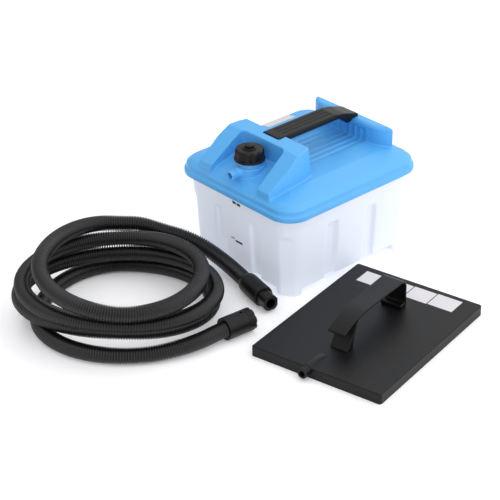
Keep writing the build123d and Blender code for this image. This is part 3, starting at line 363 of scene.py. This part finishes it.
@dataclass(frozen=True)
class Skin:
    """Visual copy of one CAD node, with soft edges.

    Attributes:
        node: Name of the CAD node.
        finish: Finish of the copy.
        body: Body that it rides on.
        slot: Material slot of the record; not used.
        merge: Distance in mm within which corners of the node's triangles are one.
    """

    node: str
    finish: Finish
    body: Body
    slot: Slot
    merge: float = field(default=0.002, kw_only=True)

    @property
    def name(self) -> str:
        """Name of the copy."""
        return f"{self.node}_skin"

    def copy(self, frame: dict) -> bmesh.types.BMesh:
        """Copy the mesh of the CAD node and merge its triangles.

        Args:
            frame: The loaded CAD frame.

        Returns:
            The copy in the shared frame.
        """
        node = frame["nodes"][self.node]
        form = bmesh.new()
        form.from_mesh(node.data)
        form.transform(node.matrix_world)
        bmesh.ops.remove_doubles(form, verts=form.verts, dist=self.merge * MM)
        return form

    def declare(self, mesh: bpy.types.Mesh) -> bpy.types.Object:
        """Link the finished mesh in place of the CAD node.

        Args:
            mesh: Mesh of the copy.

        Returns:
            The new object.
        """
        piece = add_object(self.name, mesh, self.finish)
        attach(piece, self.body.value)
        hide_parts(self.node)
        return piece


@dataclass(frozen=True)
class MouldedSkin(Skin):
    """Copy with rounded edges all over, like a moulding from a soft-cornered tool.

    Attributes:
        grid: Spacing of its surface in mm.
        passes: Rounds of smoothing, which set how soft the edges are.
        ease: Share of the way that each round moves a point.
        limit: Most triangles of the copy.
        rises: Forms fused into the copy, each as rings of corner points in mm.
    """

    grid: float = 1.7
    passes: int = 4
    ease: float = 0.5
    limit: int = 180000
    rises: tuple = ()

    def add_rises(self, form: bmesh.types.BMesh) -> None:
        """Add the forms that are to be fused into the copy, each extruded from ring to ring.

        Args:
            form: The copy that takes them.
        """
        for first, *others in self.rises:
            face = form.faces.new([form.verts.new(Vector(p) * MM) for p in first])
            for ring in others:
                grown = bmesh.ops.extrude_face_region(form, geom=[face])["geom"]
                face = next(g for g in grown if isinstance(g, bmesh.types.BMFace))
                for vert, place in zip(face.verts, ring):
                    vert.co = Vector(place) * MM

    def build(self, frame: dict) -> bpy.types.Object:
        """Rebuild the node on a fine grid and smooth it.

        Args:
            frame: The loaded CAD frame.

        Returns:
            The copy.
        """
        form = self.copy(frame)
        self.add_rises(form)
        mesh = modified(finished(form, self.name), "REMESH", mode="VOXEL", voxel_size=self.grid * MM)
        form = bmesh.new()
        form.from_mesh(mesh)
        bpy.data.meshes.remove(mesh)
        for _ in range(self.passes):
            bmesh.ops.smooth_vert(
                form, verts=form.verts, factor=self.ease, use_axis_x=True, use_axis_y=True, use_axis_z=True
            )
        mesh = finished(form, self.name, smooth=True)
        triangles = 2 * len(mesh.polygons)
        if triangles > self.limit:
            mesh = modified(mesh, "DECIMATE", ratio=self.limit / triangles)
        return self.declare(mesh)


@dataclass(frozen=True)
class BevelledSkin(Skin):
    """Copy with its sharp edges broken by a small round.

    Attributes:
        edge: Width of the round in mm.
        steps: Facets across the round.
        sharp: Edges that turn by more than this many degrees are rounded.
        flat: Faces that turn by less than this many degrees are one face.
    """

    edge: float = 0.6
    steps: int = 2
    sharp: float = 40.0
    flat: float = 0.5

    def build(self, frame: dict) -> bpy.types.Object:
        """Merge the node's faces and round its sharp edges.

        Args:
            frame: The loaded CAD frame.

        Returns:
            The copy.
        """
        form = self.copy(frame)
        flat = math.radians(self.flat)
        bmesh.ops.dissolve_limit(form, angle_limit=flat, verts=form.verts, edges=form.edges)
        limit = math.radians(self.sharp)
        edges = [e for e in form.edges if e.is_manifold and e.calc_face_angle(0.0) > limit]
        bmesh.ops.bevel(
            form,
            geom=edges,
            offset=self.edge * MM,
            offset_type="OFFSET",
            segments=self.steps,
            profile=0.5,
            affect="EDGES",
            clamp_overlap=True,
            material=-1,
        )
        face_outwards(form)
        mesh = finished(form, self.name, smooth=True)
        mesh.set_sharp_from_angle(angle=limit)
        return self.declare(modified(mesh, "WEIGHTED_NORMAL", keep_sharp=True))


@dataclass(frozen=True)
class TurnedSkin(Skin):
    """Copy turned about an axis from a closed outline.

    Attributes:
        base: Point on the axis in mm.
        ahead: Direction of the axis.
        outline: Distance along the axis and radius of each corner in mm.
        sides: Sides of the turned form.
        crease: Edges that turn by more than this many degrees stay sharp.
        flutes: Number of finger flutes, or zero.
        flute_depth: Depth of the flutes in mm.
        flute_span: Start and end of the flutes along the axis in mm.
        flute_reach: Share of the widest radius that the flutes are outside of.
        flute_power: How narrow the flutes are at their bottom.
    """

    base: tuple[float, float, float] = (0.0, 0.0, 0.0)
    ahead: tuple[float, float, float] = (0.0, 0.0, 1.0)
    outline: tuple = ()
    sides: int = 120
    crease: float = 50.0
    flutes: int = 0
    flute_depth: float = 0.0
    flute_span: tuple[float, float] = (0.0, 0.0)
    flute_reach: float = 0.75
    flute_power: float = 1.5

    def cut_flutes(self, form: bmesh.types.BMesh) -> None:
        """Press the flutes into the turned form.

        Args:
            form: The form about the Z axis, in mm.
        """
        low, high = self.flute_span
        inside = self.flute_reach * max(radius for _, radius in self.outline)
        for vert in form.verts:
            radius = vert.co.xy.length
            if radius > inside and low <= vert.co.z <= high:
                angle = math.atan2(vert.co.y, vert.co.x)
                hollow = max(0.0, math.cos(self.flutes * angle)) ** self.flute_power
                vert.co.xy *= 1 - self.flute_depth * hollow / radius

    def build(self, frame: dict) -> bpy.types.Object:
        """Spin the outline about its axis.

        Args:
            frame: The loaded CAD frame; not used.

        Returns:
            The copy.
        """
        form = bmesh.new()
        corners = [form.verts.new((radius, 0.0, height)) for height, radius in self.outline]
        edges = [form.edges.new(pair) for pair in zip(corners, corners[1:] + corners[:1])]
        bmesh.ops.spin(
            form,
            geom=corners + edges,
            cent=(0.0, 0.0, 0.0),
            axis=(0.0, 0.0, 1.0),
            angle=2 * math.pi,
            steps=self.sides,
            use_merge=True,
        )
        if self.flutes:
            self.cut_flutes(form)
        axes = Vector(self.ahead).to_track_quat("Z", "Y").to_matrix().to_4x4()
        form.transform(Matrix.Scale(MM, 4) @ Matrix.Translation(self.base) @ axes)
        face_outwards(form)
        mesh = finished(form, self.name, smooth=True)
        mesh.set_sharp_from_angle(angle=math.radians(self.crease))
        return self.declare(mesh)


@dataclass
class SteamHose:
    """Ribbed steam hose: a loose coil with a free end at each side.

    Attributes:
        crest: Radius over the ribs in mm.
        root: Radius between the ribs in mm.
        pitch: Distance from rib to rib in mm.
        sides: Sides of the tube.
        fineness: Points read from the line between two of its control points.
        quarter_points: Points of the line in each quarter turn of the coil.
        coil_turn: Turn of the coil about Z in degrees.
        coil_centre: Middle of the coil on the floor in mm.
        keys: Distance across and away from the middle and height, at each quarter turn, in mm.
        tank_run: Points of the free end for the tank in mm.
        plate_run: Points of the free end for the plate in mm.
        nodes: CAD nodes that the hose stands for.
    """

    crest: float = 12.0
    root: float = 9.9
    pitch: float = 3.7
    sides: int = 20
    fineness: int = 6
    quarter_points: int = 5
    coil_turn: float = 48.16
    coil_centre: tuple[float, float] = (-39.0, -319.4)
    keys: tuple = (
        (11.0, -142.0, 12.3),
        (-122.5, -28.0, 12.3),
        (-8.0, 113.0, 12.3),
        (134.0, -6.0, 18.5),
        (10.0, -114.0, 35.0),
        (-150.0, -9.0, 37.5),
        (-1.0, 102.0, 39.2),
        (140.0, -19.0, 44.0),
        (8.0, -129.0, 53.0),
        (-143.1, -21.5, 64.9),
        (-0.8, 105.7, 62.8),
        (119.5, -15.4, 72.6),
        (5.1, -140.9, 78.8),
        (-113.4, -34.3, 103.5),
        (-5.0, 128.5, 75.0),
    )
    tank_run: tuple = (
        (-123.7, -213.8, 72.0),
        (-102.0, -191.0, 60.0),
        (-78.0, -168.0, 50.5),
        (-49.5, -152.6, 39.0),
        (-19.0, -143.5, 25.5),
        (12.6, -142.0, 16.5),
        (68.0, -154.9, 16.5),
    )
    plate_run: tuple = (
        (100.5, -369.0, 12.3),
        (121.5, -316.0, 16.5),
        (122.0, -267.0, 17.3),
        (124.3, -239.1, 17.3),
    )
    nodes: tuple = ("hose_coil", "hose_tail_tank", "hose_tail_plate")

    def coil_point(self, x: float, y: float, z: float) -> Vector:
        """Place one point of the coil, given across and away from its middle, in mm."""
        return Vector((*turned(x, y, self.coil_centre, self.coil_turn), z))

    def turns(self) -> list[Vector]:
        """Points of the coil's turns, each quarter turn a quarter of an ellipse from key to key.

        Returns:
            Points in mm.
        """
        points = []
        for number, (start, end) in enumerate(zip(self.keys, self.keys[1:])):
            for step in range(self.quarter_points):
                share = step / self.quarter_points
                rise = math.sin(share * math.pi / 2)
                fall = 1 - math.cos(share * math.pi / 2)
                across, away = (rise, fall) if number % 2 == 0 else (fall, rise)
                x = start[0] + (end[0] - start[0]) * across
                y = start[1] + (end[1] - start[1]) * away
                points.append(self.coil_point(x, y, start[2] + (end[2] - start[2]) * share))
        return points + [self.coil_point(*self.keys[-1])]

    def control_points(self) -> list[Vector]:
        """Control points of the whole hose, from the tank end to the plate end.

        Returns:
            Points in metres.
        """
        tank_end = [Vector(p) for p in reversed(self.tank_run)]
        plate_end = [Vector(p) for p in self.plate_run]
        return [p * MM for p in tank_end + self.turns()[::-1] + plate_end]

    def centreline(self) -> list[Vector]:
        """Follow the control points with one spline and read its points.

        Returns:
            Points along the hose in metres.
        """
        controls = self.control_points()
        line = bpy.data.curves.new("hose line", "CURVE")
        line.dimensions = "3D"
        line.resolution_u = self.fineness
        spline = line.splines.new("NURBS")
        spline.points.add(len(controls) - 1)
        for point, place in zip(spline.points, controls):
            point.co = (*place, 1.0)
        spline.order_u = 3
        spline.use_endpoint_u = True
        read = evaluated(bpy.data.objects.new("hose line", line))
        points = [v.co.copy() for v in read.vertices]
        bpy.data.curves.remove(line)
        bpy.data.meshes.remove(read)
        return points

    def stations(self, line: list[Vector]) -> tuple[list, float]:
        """Places and radii of the rings of the tube.

        Args:
            line: Points along the hose.

        Returns:
            A list of place, direction and radius for each ring, and the length of the hose.
        """
        travel = [0.0]
        for start, end in zip(line, line[1:]):
            travel.append(travel[-1] + (end - start).length)
        length = travel[-1]
        wave = (self.root, self.crest, self.crest, self.root)
        count = len(wave) * round(length / (self.pitch * MM))
        rings = []
        number = 0
        for ring in range(count + 1):
            place = length * ring / count
            while number < len(line) - 2 and travel[number + 1] < place:
                number += 1
            span = travel[number + 1] - travel[number]
            share = (place - travel[number]) / span
            spot = line[number].lerp(line[number + 1], share)
            before = line[number] - line[max(number - 1, 0)]
            ahead = line[number + 1] - line[number]
            after = line[min(number + 2, len(line) - 1)] - line[number + 1]
            start = (before + ahead).normalized()
            end = (ahead + after).normalized()
            rings.append((spot, start.lerp(end, share).normalized(), wave[ring % len(wave)] * MM))
        return rings, length

    def tube(self, rings: list) -> bpy.types.Mesh:
        """Join the rings to a closed tube.

        Args:
            rings: Place, direction and radius of each ring in metres.

        Returns:
            The mesh of the tube.
        """
        form = bmesh.new()
        loops = []
        for spot, ahead, radius in rings:
            side = Vector((0, 0, 1)).cross(ahead).normalized()
            above = ahead.cross(side)
            angles = [2 * math.pi * number / self.sides for number in range(self.sides)]
            places = [spot + side * (radius * math.cos(a)) + above * (radius * math.sin(a)) for a in angles]
            loops.append([form.verts.new(place) for place in places])
        for low, high in zip(loops, loops[1:]):
            for number in range(self.sides):
                after = (number + 1) % self.sides
                form.faces.new((low[number], low[after], high[after], high[number]))
        form.faces.new(loops[0])
        form.faces.new(loops[-1])
        face_outwards(form)
        return finished(form, "steam_hose", smooth=True)

    def build(self, ends: list) -> bpy.types.Object:
        """Args:
            ends: The pieces on the ends of the hose; not used.

        Returns:
            The hose.
        """
        line = self.centreline()
        rings, length = self.stations(line)
        hose = add_object("steam_hose", self.tube(rings), HOSE_SKIN)
        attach(hose, Body.HOSE.value)
        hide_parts(*self.nodes)
        LOG.info("hose of %.3f m", length)
        return hose


@dataclass
class Panel:
    """Thin flat panel on a surface, such as a level mark or a bare label.

    Attributes:
        name: Name of the piece.
        edges: Left, right, near and far edge on the surface in mm.
        surface: Gives the point in mm for two places on the surface.
        lift: How far it stands off its surface in mm.
        finish: Its finish.
        body: Body that it rides on.
    """

    name: str
    edges: tuple[float, float, float, float]
    surface: Callable[[float, float], tuple[float, float, float]]
    lift: float
    finish: Finish
    body: Body

    def build(self) -> bpy.types.Object:
        """Extrude the panel as a thin slab from its surface.

        Returns:
            The panel.
        """
        left, right, near, far = self.edges
        form = bmesh.new()
        places = ((left, near), (right, near), (right, far), (left, far))
        face = form.faces.new([form.verts.new(Vector(self.surface(*place)) * MM) for place in places])
        face.normal_update()
        away = face.normal * (self.lift * MM)
        grown = bmesh.ops.extrude_face_region(form, geom=[face])["geom"]
        top = [g for g in grown if isinstance(g, bmesh.types.BMVert)]
        bmesh.ops.translate(form, vec=away, verts=top)
        face_outwards(form)
        piece = add_object(self.name, finished(form, self.name), self.finish)
        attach(piece, self.body.value)
        return piece


@dataclass
class Tank:
    """Water tank with its level marks.

    Attributes:
        rim_length: Length at the rim in mm.
        height: Height of the tank in mm.
        draft: Draft of the walls in degrees.
        flare_low: Height in mm from which the wall flares out.
        flare: Draft of the flare in degrees.
        mark_gap: Gap in mm between the wall and the back of a mark.
        marks: Left, right, low and high edge of each mark on the front wall in mm.
    """

    rim_length: float = 262.0
    height: float = 141.0
    draft: float = 3.3
    flare_low: float = 118.0
    flare: float = 12.5
    mark_gap: float = 0.05
    marks: tuple = (
        (-5.6, 2.0, 122.5, 127.5),
        (4.0, 11.6, 122.0, 127.0),
        (-15.0, -7.0, 59.0, 60.6),
        (-5.0, 10.0, 55.0, 58.4),
    )

    def front(self, x: float, z: float) -> tuple[float, float, float]:
        """Point on the front wall.

        Args:
            x: Place across the wall in mm.
            z: Height in mm.

        Returns:
            The point in mm.
        """
        below = self.height - min(z, self.flare_low)
        reach = self.rim_length / 2 - below * math.tan(math.radians(self.draft))
        reach += max(0.0, z - self.flare_low) * math.tan(math.radians(self.flare))
        return (x, -reach - self.mark_gap, z)

    def build(self, frame: dict) -> None:
        """Dress the tank and add its marks.

        Args:
            frame: The loaded CAD frame.
        """
        MouldedSkin("tank", TANK_SKIN, Body.TANK, Slot.TANK, grid=1.4, passes=6).build(frame)
        dress(frame["nodes"]["lid_gasket"], RUBBER)
        for number, edges in enumerate(self.marks):
            Panel(f"level_mark_{number}", edges, self.front, 0.2, INK, Body.TANK).build()


@dataclass
class Lid:
    """Moulded lid with its handle, cap and inner fittings.

    Attributes:
        cap_axis: Place of the filler cap's axis in mm.
        cap: Height and radius of each corner of the cap's outline in mm.
        cap_flutes: Number of finger flutes round the cap.
        cap_flute_depth: Depth of the flutes in mm.
        cap_flute_span: Lowest and highest point of the flutes in mm.
        knob: Height and radius of each corner of the relief valve's outline in mm.
        sticker: Left, right, near and far edge of the bare sticker in mm.
        sticker_gap: Gap in mm between the deck and the back of the sticker.
        slope_start: Place across and height where the deck's slope starts, in mm.
        slope: Rise of the deck's slope.
        toe: Place along the lid, upper and lower height, and inner and outer edge of each
            section of a hood toe in mm.
        steel_nodes: Screws and spring parts.
        brass_nodes: Fixings of the heating element.
        rubber_nodes: Seals of the cap and the heating element.
        grey_nodes: Grey mouldings in the rear housing.
    """

    cap_axis: tuple[float, float, float] = (0.0, -101.0, 0.0)
    cap: tuple = (
        (188.0, 19.4), (188.0, 23.0), (188.5, 23.5), (190.4, 23.5), (191.0, 23.0), (191.3, 22.1),
        (192.5, 22.0), (202.0, 22.0), (203.6, 21.7), (205.0, 20.8), (205.8, 19.2), (206.0, 17.5),
        (206.0, 11.2), (206.3, 10.6), (208.0, 10.5), (208.4, 10.1), (208.5, 9.4), (208.5, 3.05),
        (203.0, 3.05), (203.0, 19.4),
    )
    cap_flutes: int = 10
    cap_flute_depth: float = 2.0
    cap_flute_span: tuple[float, float] = (191.2, 205.4)
    knob: tuple = (
        (185.0, 0.01), (185.0, 2.0), (187.5, 2.0), (187.5, 3.0), (208.6, 3.0), (208.6, 6.9),
        (209.0, 7.4), (210.8, 7.5), (211.6, 7.1), (212.0, 6.2), (212.0, 0.01),
    )
    sticker: tuple[float, float, float, float] = (-116.0, -96.0, 28.0, 84.0)
    sticker_gap: float = 0.05
    slope_start: tuple[float, float] = (-115.05, 159.5)
    slope: float = 6.5 / 33.0
    toe: tuple = (
        (-75.0, 209.8, 206.0, 47.3, 75.4),
        (-92.0, 198.2, 189.0, 48.2, 78.6),
        (-133.2, 168.8, 150.0, 50.3, 76.8),
    )
    steel_nodes: tuple = ("handle_screws", "relief_spring", "relief_retainer")
    brass_nodes: tuple = ("element_flange", "element_nuts")
    rubber_nodes: tuple = ("cap_seal", "element_gasket")
    grey_nodes: tuple = ("housing_cover", "thermal_cutout")

    def deck(self, x: float, y: float) -> tuple[float, float, float]:
        """Point on the left slope of the deck.

        Args:
            x: Place across the lid in mm.
            y: Place along the lid in mm.

        Returns:
            The point in mm.
        """
        start, height = self.slope_start
        return (x, y, height + (x - start) * self.slope + self.sticker_gap)

    def toes(self) -> tuple:
        """Blunt front ends of the hood's two legs.

        Returns:
            The rings of the right and of the left toe in mm.
        """
        sides = []
        for hand in (1, -1):
            rings = []
            for y, high, low, inner, outer in self.toe:
                corners = ((inner, high), (outer, high), (outer, low), (inner, low))
                rings.append(tuple((hand * x, y, z) for x, z in corners))
            sides.append(tuple(rings))
        return tuple(sides)

    def build(self, frame: dict) -> None:
        """Dress the lid and what it carries.

        Args:
            frame: The loaded CAD frame.
        """
        MouldedSkin("lid", LID_SKIN, Body.TANK, Slot.LID, grid=1.1, passes=3, rises=self.toes()).build(frame)
        MouldedSkin("carry_handle", NYLON, Body.TANK, Slot.TRIM, grid=0.8, passes=3).build(frame)
        TurnedSkin(
            "filler_cap",
            NYLON,
            Body.CAP,
            Slot.TRIM,
            base=self.cap_axis,
            outline=self.cap,
            flutes=self.cap_flutes,
            flute_depth=self.cap_flute_depth,
            flute_span=self.cap_flute_span,
        ).build(frame)
        TurnedSkin(
            "relief_valve", NYLON, Body.PLUNGER, Slot.TRIM, base=self.cap_axis, outline=self.knob, sides=64
        ).build(frame)
        Panel("bare_sticker", self.sticker, self.deck, 0.15, LABEL, Body.TANK).build()
        for names, finish in (
            (("cord_gland",), NYLON),
            (self.steel_nodes, STEEL),
            (self.brass_nodes, BRASS),
            (self.rubber_nodes, RUBBER),
            (("heating_element",), SHEATH),
            (self.grey_nodes, GREY_MOULDING),
            (("terminal_block",), CREAM_MOULDING),
        ):
            for name in names:
                dress(frame["nodes"][name], finish)


@dataclass
class HoseEnds:
    """Cuffs, nozzle and lock ring on the ends of the hose.

    Attributes:
        cuff_base: Middle of the tank cuff's rear end in mm.
        cuff_ahead: Direction of the tank cuff.
        cuff: Distance from the rear end and radius of each corner of the tank cuff in mm.
        nylon_nodes: Other nylon pieces of the ends.
        rubber_nodes: Seals of the ends.
    """

    cuff_base: tuple[float, float, float] = (44.625, -149.457, 16.5)
    cuff_ahead: tuple[float, float, float] = (0.974, -0.227, 0.0)
    cuff: tuple = (
        (0.0, 12.2), (0.0, 13.9), (0.8, 14.6), (3.0, 15.3), (6.5, 15.9), (9.0, 16.0), (49.4, 16.0),
        (50.5, 15.5), (51.0, 14.6), (51.0, 11.3), (36.5, 11.3), (36.5, 9.5), (24.0, 9.5), (24.0, 12.2),
    )
    nylon_nodes: tuple = ("tank_nozzle", "plate_cuff")
    rubber_nodes: tuple = ("nozzle_seal", "plate_cuff_seal")

    def build(self, frame: dict) -> list:
        """Dress the hose ends.

        Args:
            frame: The loaded CAD frame.

        Returns:
            The pieces on the ends of the hose.
        """
        for name in self.rubber_nodes:
            dress(frame["nodes"][name], RUBBER)
        skins = [BevelledSkin(name, NYLON, Body.HOSE, Slot.CUFF, edge=0.8) for name in self.nylon_nodes]
        skins.append(BevelledSkin("plate_lock_ring", NYLON, Body.RING, Slot.CUFF, edge=0.5))
        skins.append(
            TurnedSkin(
                "tank_cuff",
                NYLON,
                Body.HOSE,
                Slot.CUFF,
                base=self.cuff_base,
                ahead=self.cuff_ahead,
                outline=self.cuff,
                sides=64,
            )
        )
        return [skin.build(frame) for skin in skins]


@dataclass
class SteamPlate:
    """Steam plate with its handle and bare label panels.

    Attributes:
        centre: Middle of the plate on the floor in mm.
        turn: Turn of the plate about Z in degrees.
        height: Height of its top in mm.
        label_gap: Gap in mm between the top and the back of a label.
        labels: Left, right, near and far edge of each label on the top in mm.
    """

    centre: tuple[float, float] = (253.5, -102.9)
    turn: float = 12.33
    height: float = 16.3
    label_gap: float = 0.02
    labels: tuple = (
        (-82.0, -42.0, 95.5, 127.0),
        (-40.5, -1.0, 95.5, 128.0),
        (0.5, 38.0, 96.0, 129.0),
        (39.5, 80.0, 97.0, 130.0),
    )

    def top(self, x: float, y: float) -> tuple[float, float, float]:
        """Point on the top of the plate, given across and away from its middle, in mm."""
        return (*turned(x, y, self.centre, self.turn), self.height + self.label_gap)

    def build(self, frame: dict) -> None:
        """Dress the plate and add its labels.

        Args:
            frame: The loaded CAD frame.
        """
        BevelledSkin("steam_plate", PLATE_SKIN, Body.PLATE, Slot.PLATE, edge=0.8).build(frame)
        MouldedSkin("plate_handle", NYLON, Body.PLATE, Slot.PLATE_TRIM, grid=0.9, passes=2).build(frame)
        dress(frame["nodes"]["plate_handle_screws"], STEEL)
        for number, edges in enumerate(self.labels):
            Panel(f"bare_label_{number}", edges, self.top, 0.1, LABEL, Body.PLATE).build()


@dataclass
class Studio:
    """Floor, light and camera.

    Attributes:
        azimuth: Direction of the camera in degrees, from the front towards the right.
        elevation: Height of the camera in degrees.
        roll: Roll of the camera in degrees.
        camera_place: Place of the camera in metres.
        focal: Focal length in pixels of the image.
        image: Width of the image in pixels.
        sensor: Width of the camera's sensor in mm.
        sight: How far the camera sees in metres.
        floor_half: Half the side of the floor in metres.
        sky_colour: sRGB hex colour of the sky.
        sky: Strength of the sky square to the key, and how much it gains towards the key.
        key: Direction that the sky is brightest in.
        lamp_size: Side of each soft box in metres.
        lamps: Place in metres and power in watts of each soft box.
    """

    azimuth: float = 48.16
    elevation: float = 29.89
    roll: float = -0.63
    camera_place: tuple[float, float, float] = (1.6791, -1.6056, 1.3286)
    focal: float = 1709.5
    image: int = 500
    sensor: float = 36.0
    sight: float = 50.0
    floor_half: float = 12.0
    sky_colour: str = "#ffffff"
    sky: tuple[float, float] = (0.76, 0.66)
    key: tuple[float, float, float] = (0.6, 0.3, 0.74)
    lamp_size: float = 2.0
    lamps: tuple = (((1.7, 0.5, 1.9), 4.0), ((-0.5, 1.9, 1.6), 5.0))

    def add_camera(self) -> None:
        """Set the camera to the view of the photo."""
        turn, lift, lean = (math.radians(a) for a in (self.azimuth, self.elevation, self.roll))
        back = Vector((math.sin(turn) * math.cos(lift), -math.cos(turn) * math.cos(lift), math.sin(lift)))
        right = Vector((math.cos(turn), math.sin(turn), 0))
        above = back.cross(right)
        across = right * math.cos(lean) + above * math.sin(lean)
        upward = above * math.cos(lean) - right * math.sin(lean)
        data = bpy.data.cameras.new("camera")
        data.sensor_width = self.sensor
        data.lens = self.focal / self.image * self.sensor
        data.clip_end = self.sight
        camera = bpy.data.objects.new("camera", data)
        bpy.context.scene.collection.objects.link(camera)
        axes = Matrix((across, upward, back)).transposed().to_4x4()
        camera.matrix_world = Matrix.Translation(self.camera_place) @ axes
        bpy.context.scene.camera = camera

    def add_floor(self) -> None:
        """Lay the plain white floor."""
        form = bmesh.new()
        bmesh.ops.create_grid(form, x_segments=1, y_segments=1, size=self.floor_half)
        floor = add_object("studio_floor", finished(form, "studio_floor"), FLOOR)

    def add_sky(self) -> None:
        """Set a soft sky that grows brighter towards the key."""
        world = bpy.data.worlds.new("studio sky")
        world.use_nodes = True
        tree = world.node_tree
        across, gain = self.sky
        place = add_node(tree, "ShaderNodeTexCoord", {}).outputs["Generated"]
        facing = add_node(tree, "ShaderNodeVectorMath", {0: place, 1: self.key}, operation="DOT_PRODUCT")
        terms = {0: facing.outputs["Value"], 1: gain, 2: across}
        level = add_node(tree, "ShaderNodeMath", terms, operation="MULTIPLY_ADD")
        light = {"Color": linear_colour(self.sky_colour), "Strength": level.outputs["Value"]}
        feed(tree, tree.nodes["Background"], light)
        bpy.context.scene.world = world

    def add_lamps(self) -> None:
        """Hang large soft boxes at the right and the back."""
        for place, power in self.lamps:
            data = bpy.data.lights.new("soft box", "AREA")
            data.energy = power
            data.size = self.lamp_size
            light = bpy.data.objects.new("soft box", data)
            light.location = place
            light.rotation_euler = (-Vector(place)).to_track_quat("-Z", "Y").to_euler()
            bpy.context.scene.collection.objects.link(light)

    def build(self) -> None:
        """Build the whole studio."""
        bpy.context.scene.view_settings.view_transform = "Standard"
        self.add_floor()
        self.add_sky()
        self.add_lamps()
        self.add_camera()


@dataclass
class SteamerSet:
    """The whole set, piece by piece.

    Attributes:
        tank: Water tank.
        lid: Lid with what it carries.
        hose: Steam hose.
        ends: Pieces on the ends of the hose.
        plate: Steam plate.
    """

    tank: Tank = field(default_factory=Tank)
    lid: Lid = field(default_factory=Lid)
    hose: SteamHose = field(default_factory=SteamHose)
    ends: HoseEnds = field(default_factory=HoseEnds)
    plate: SteamPlate = field(default_factory=SteamPlate)

    def build(self, frame: dict) -> None:
        """Build and dress every piece.

        Args:
            frame: The loaded CAD frame.
        """
        for piece in (self.tank, self.lid, self.plate):
            piece.build(frame)
        self.hose.build(self.ends.build(frame))


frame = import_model()


def main() -> None:
    """Build the set and the studio."""
    logging.basicConfig(level=logging.INFO, format="%(message)s")
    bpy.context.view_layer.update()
    SteamerSet().build(frame)
    Studio().build()


if __name__ == "__main__":
    main()
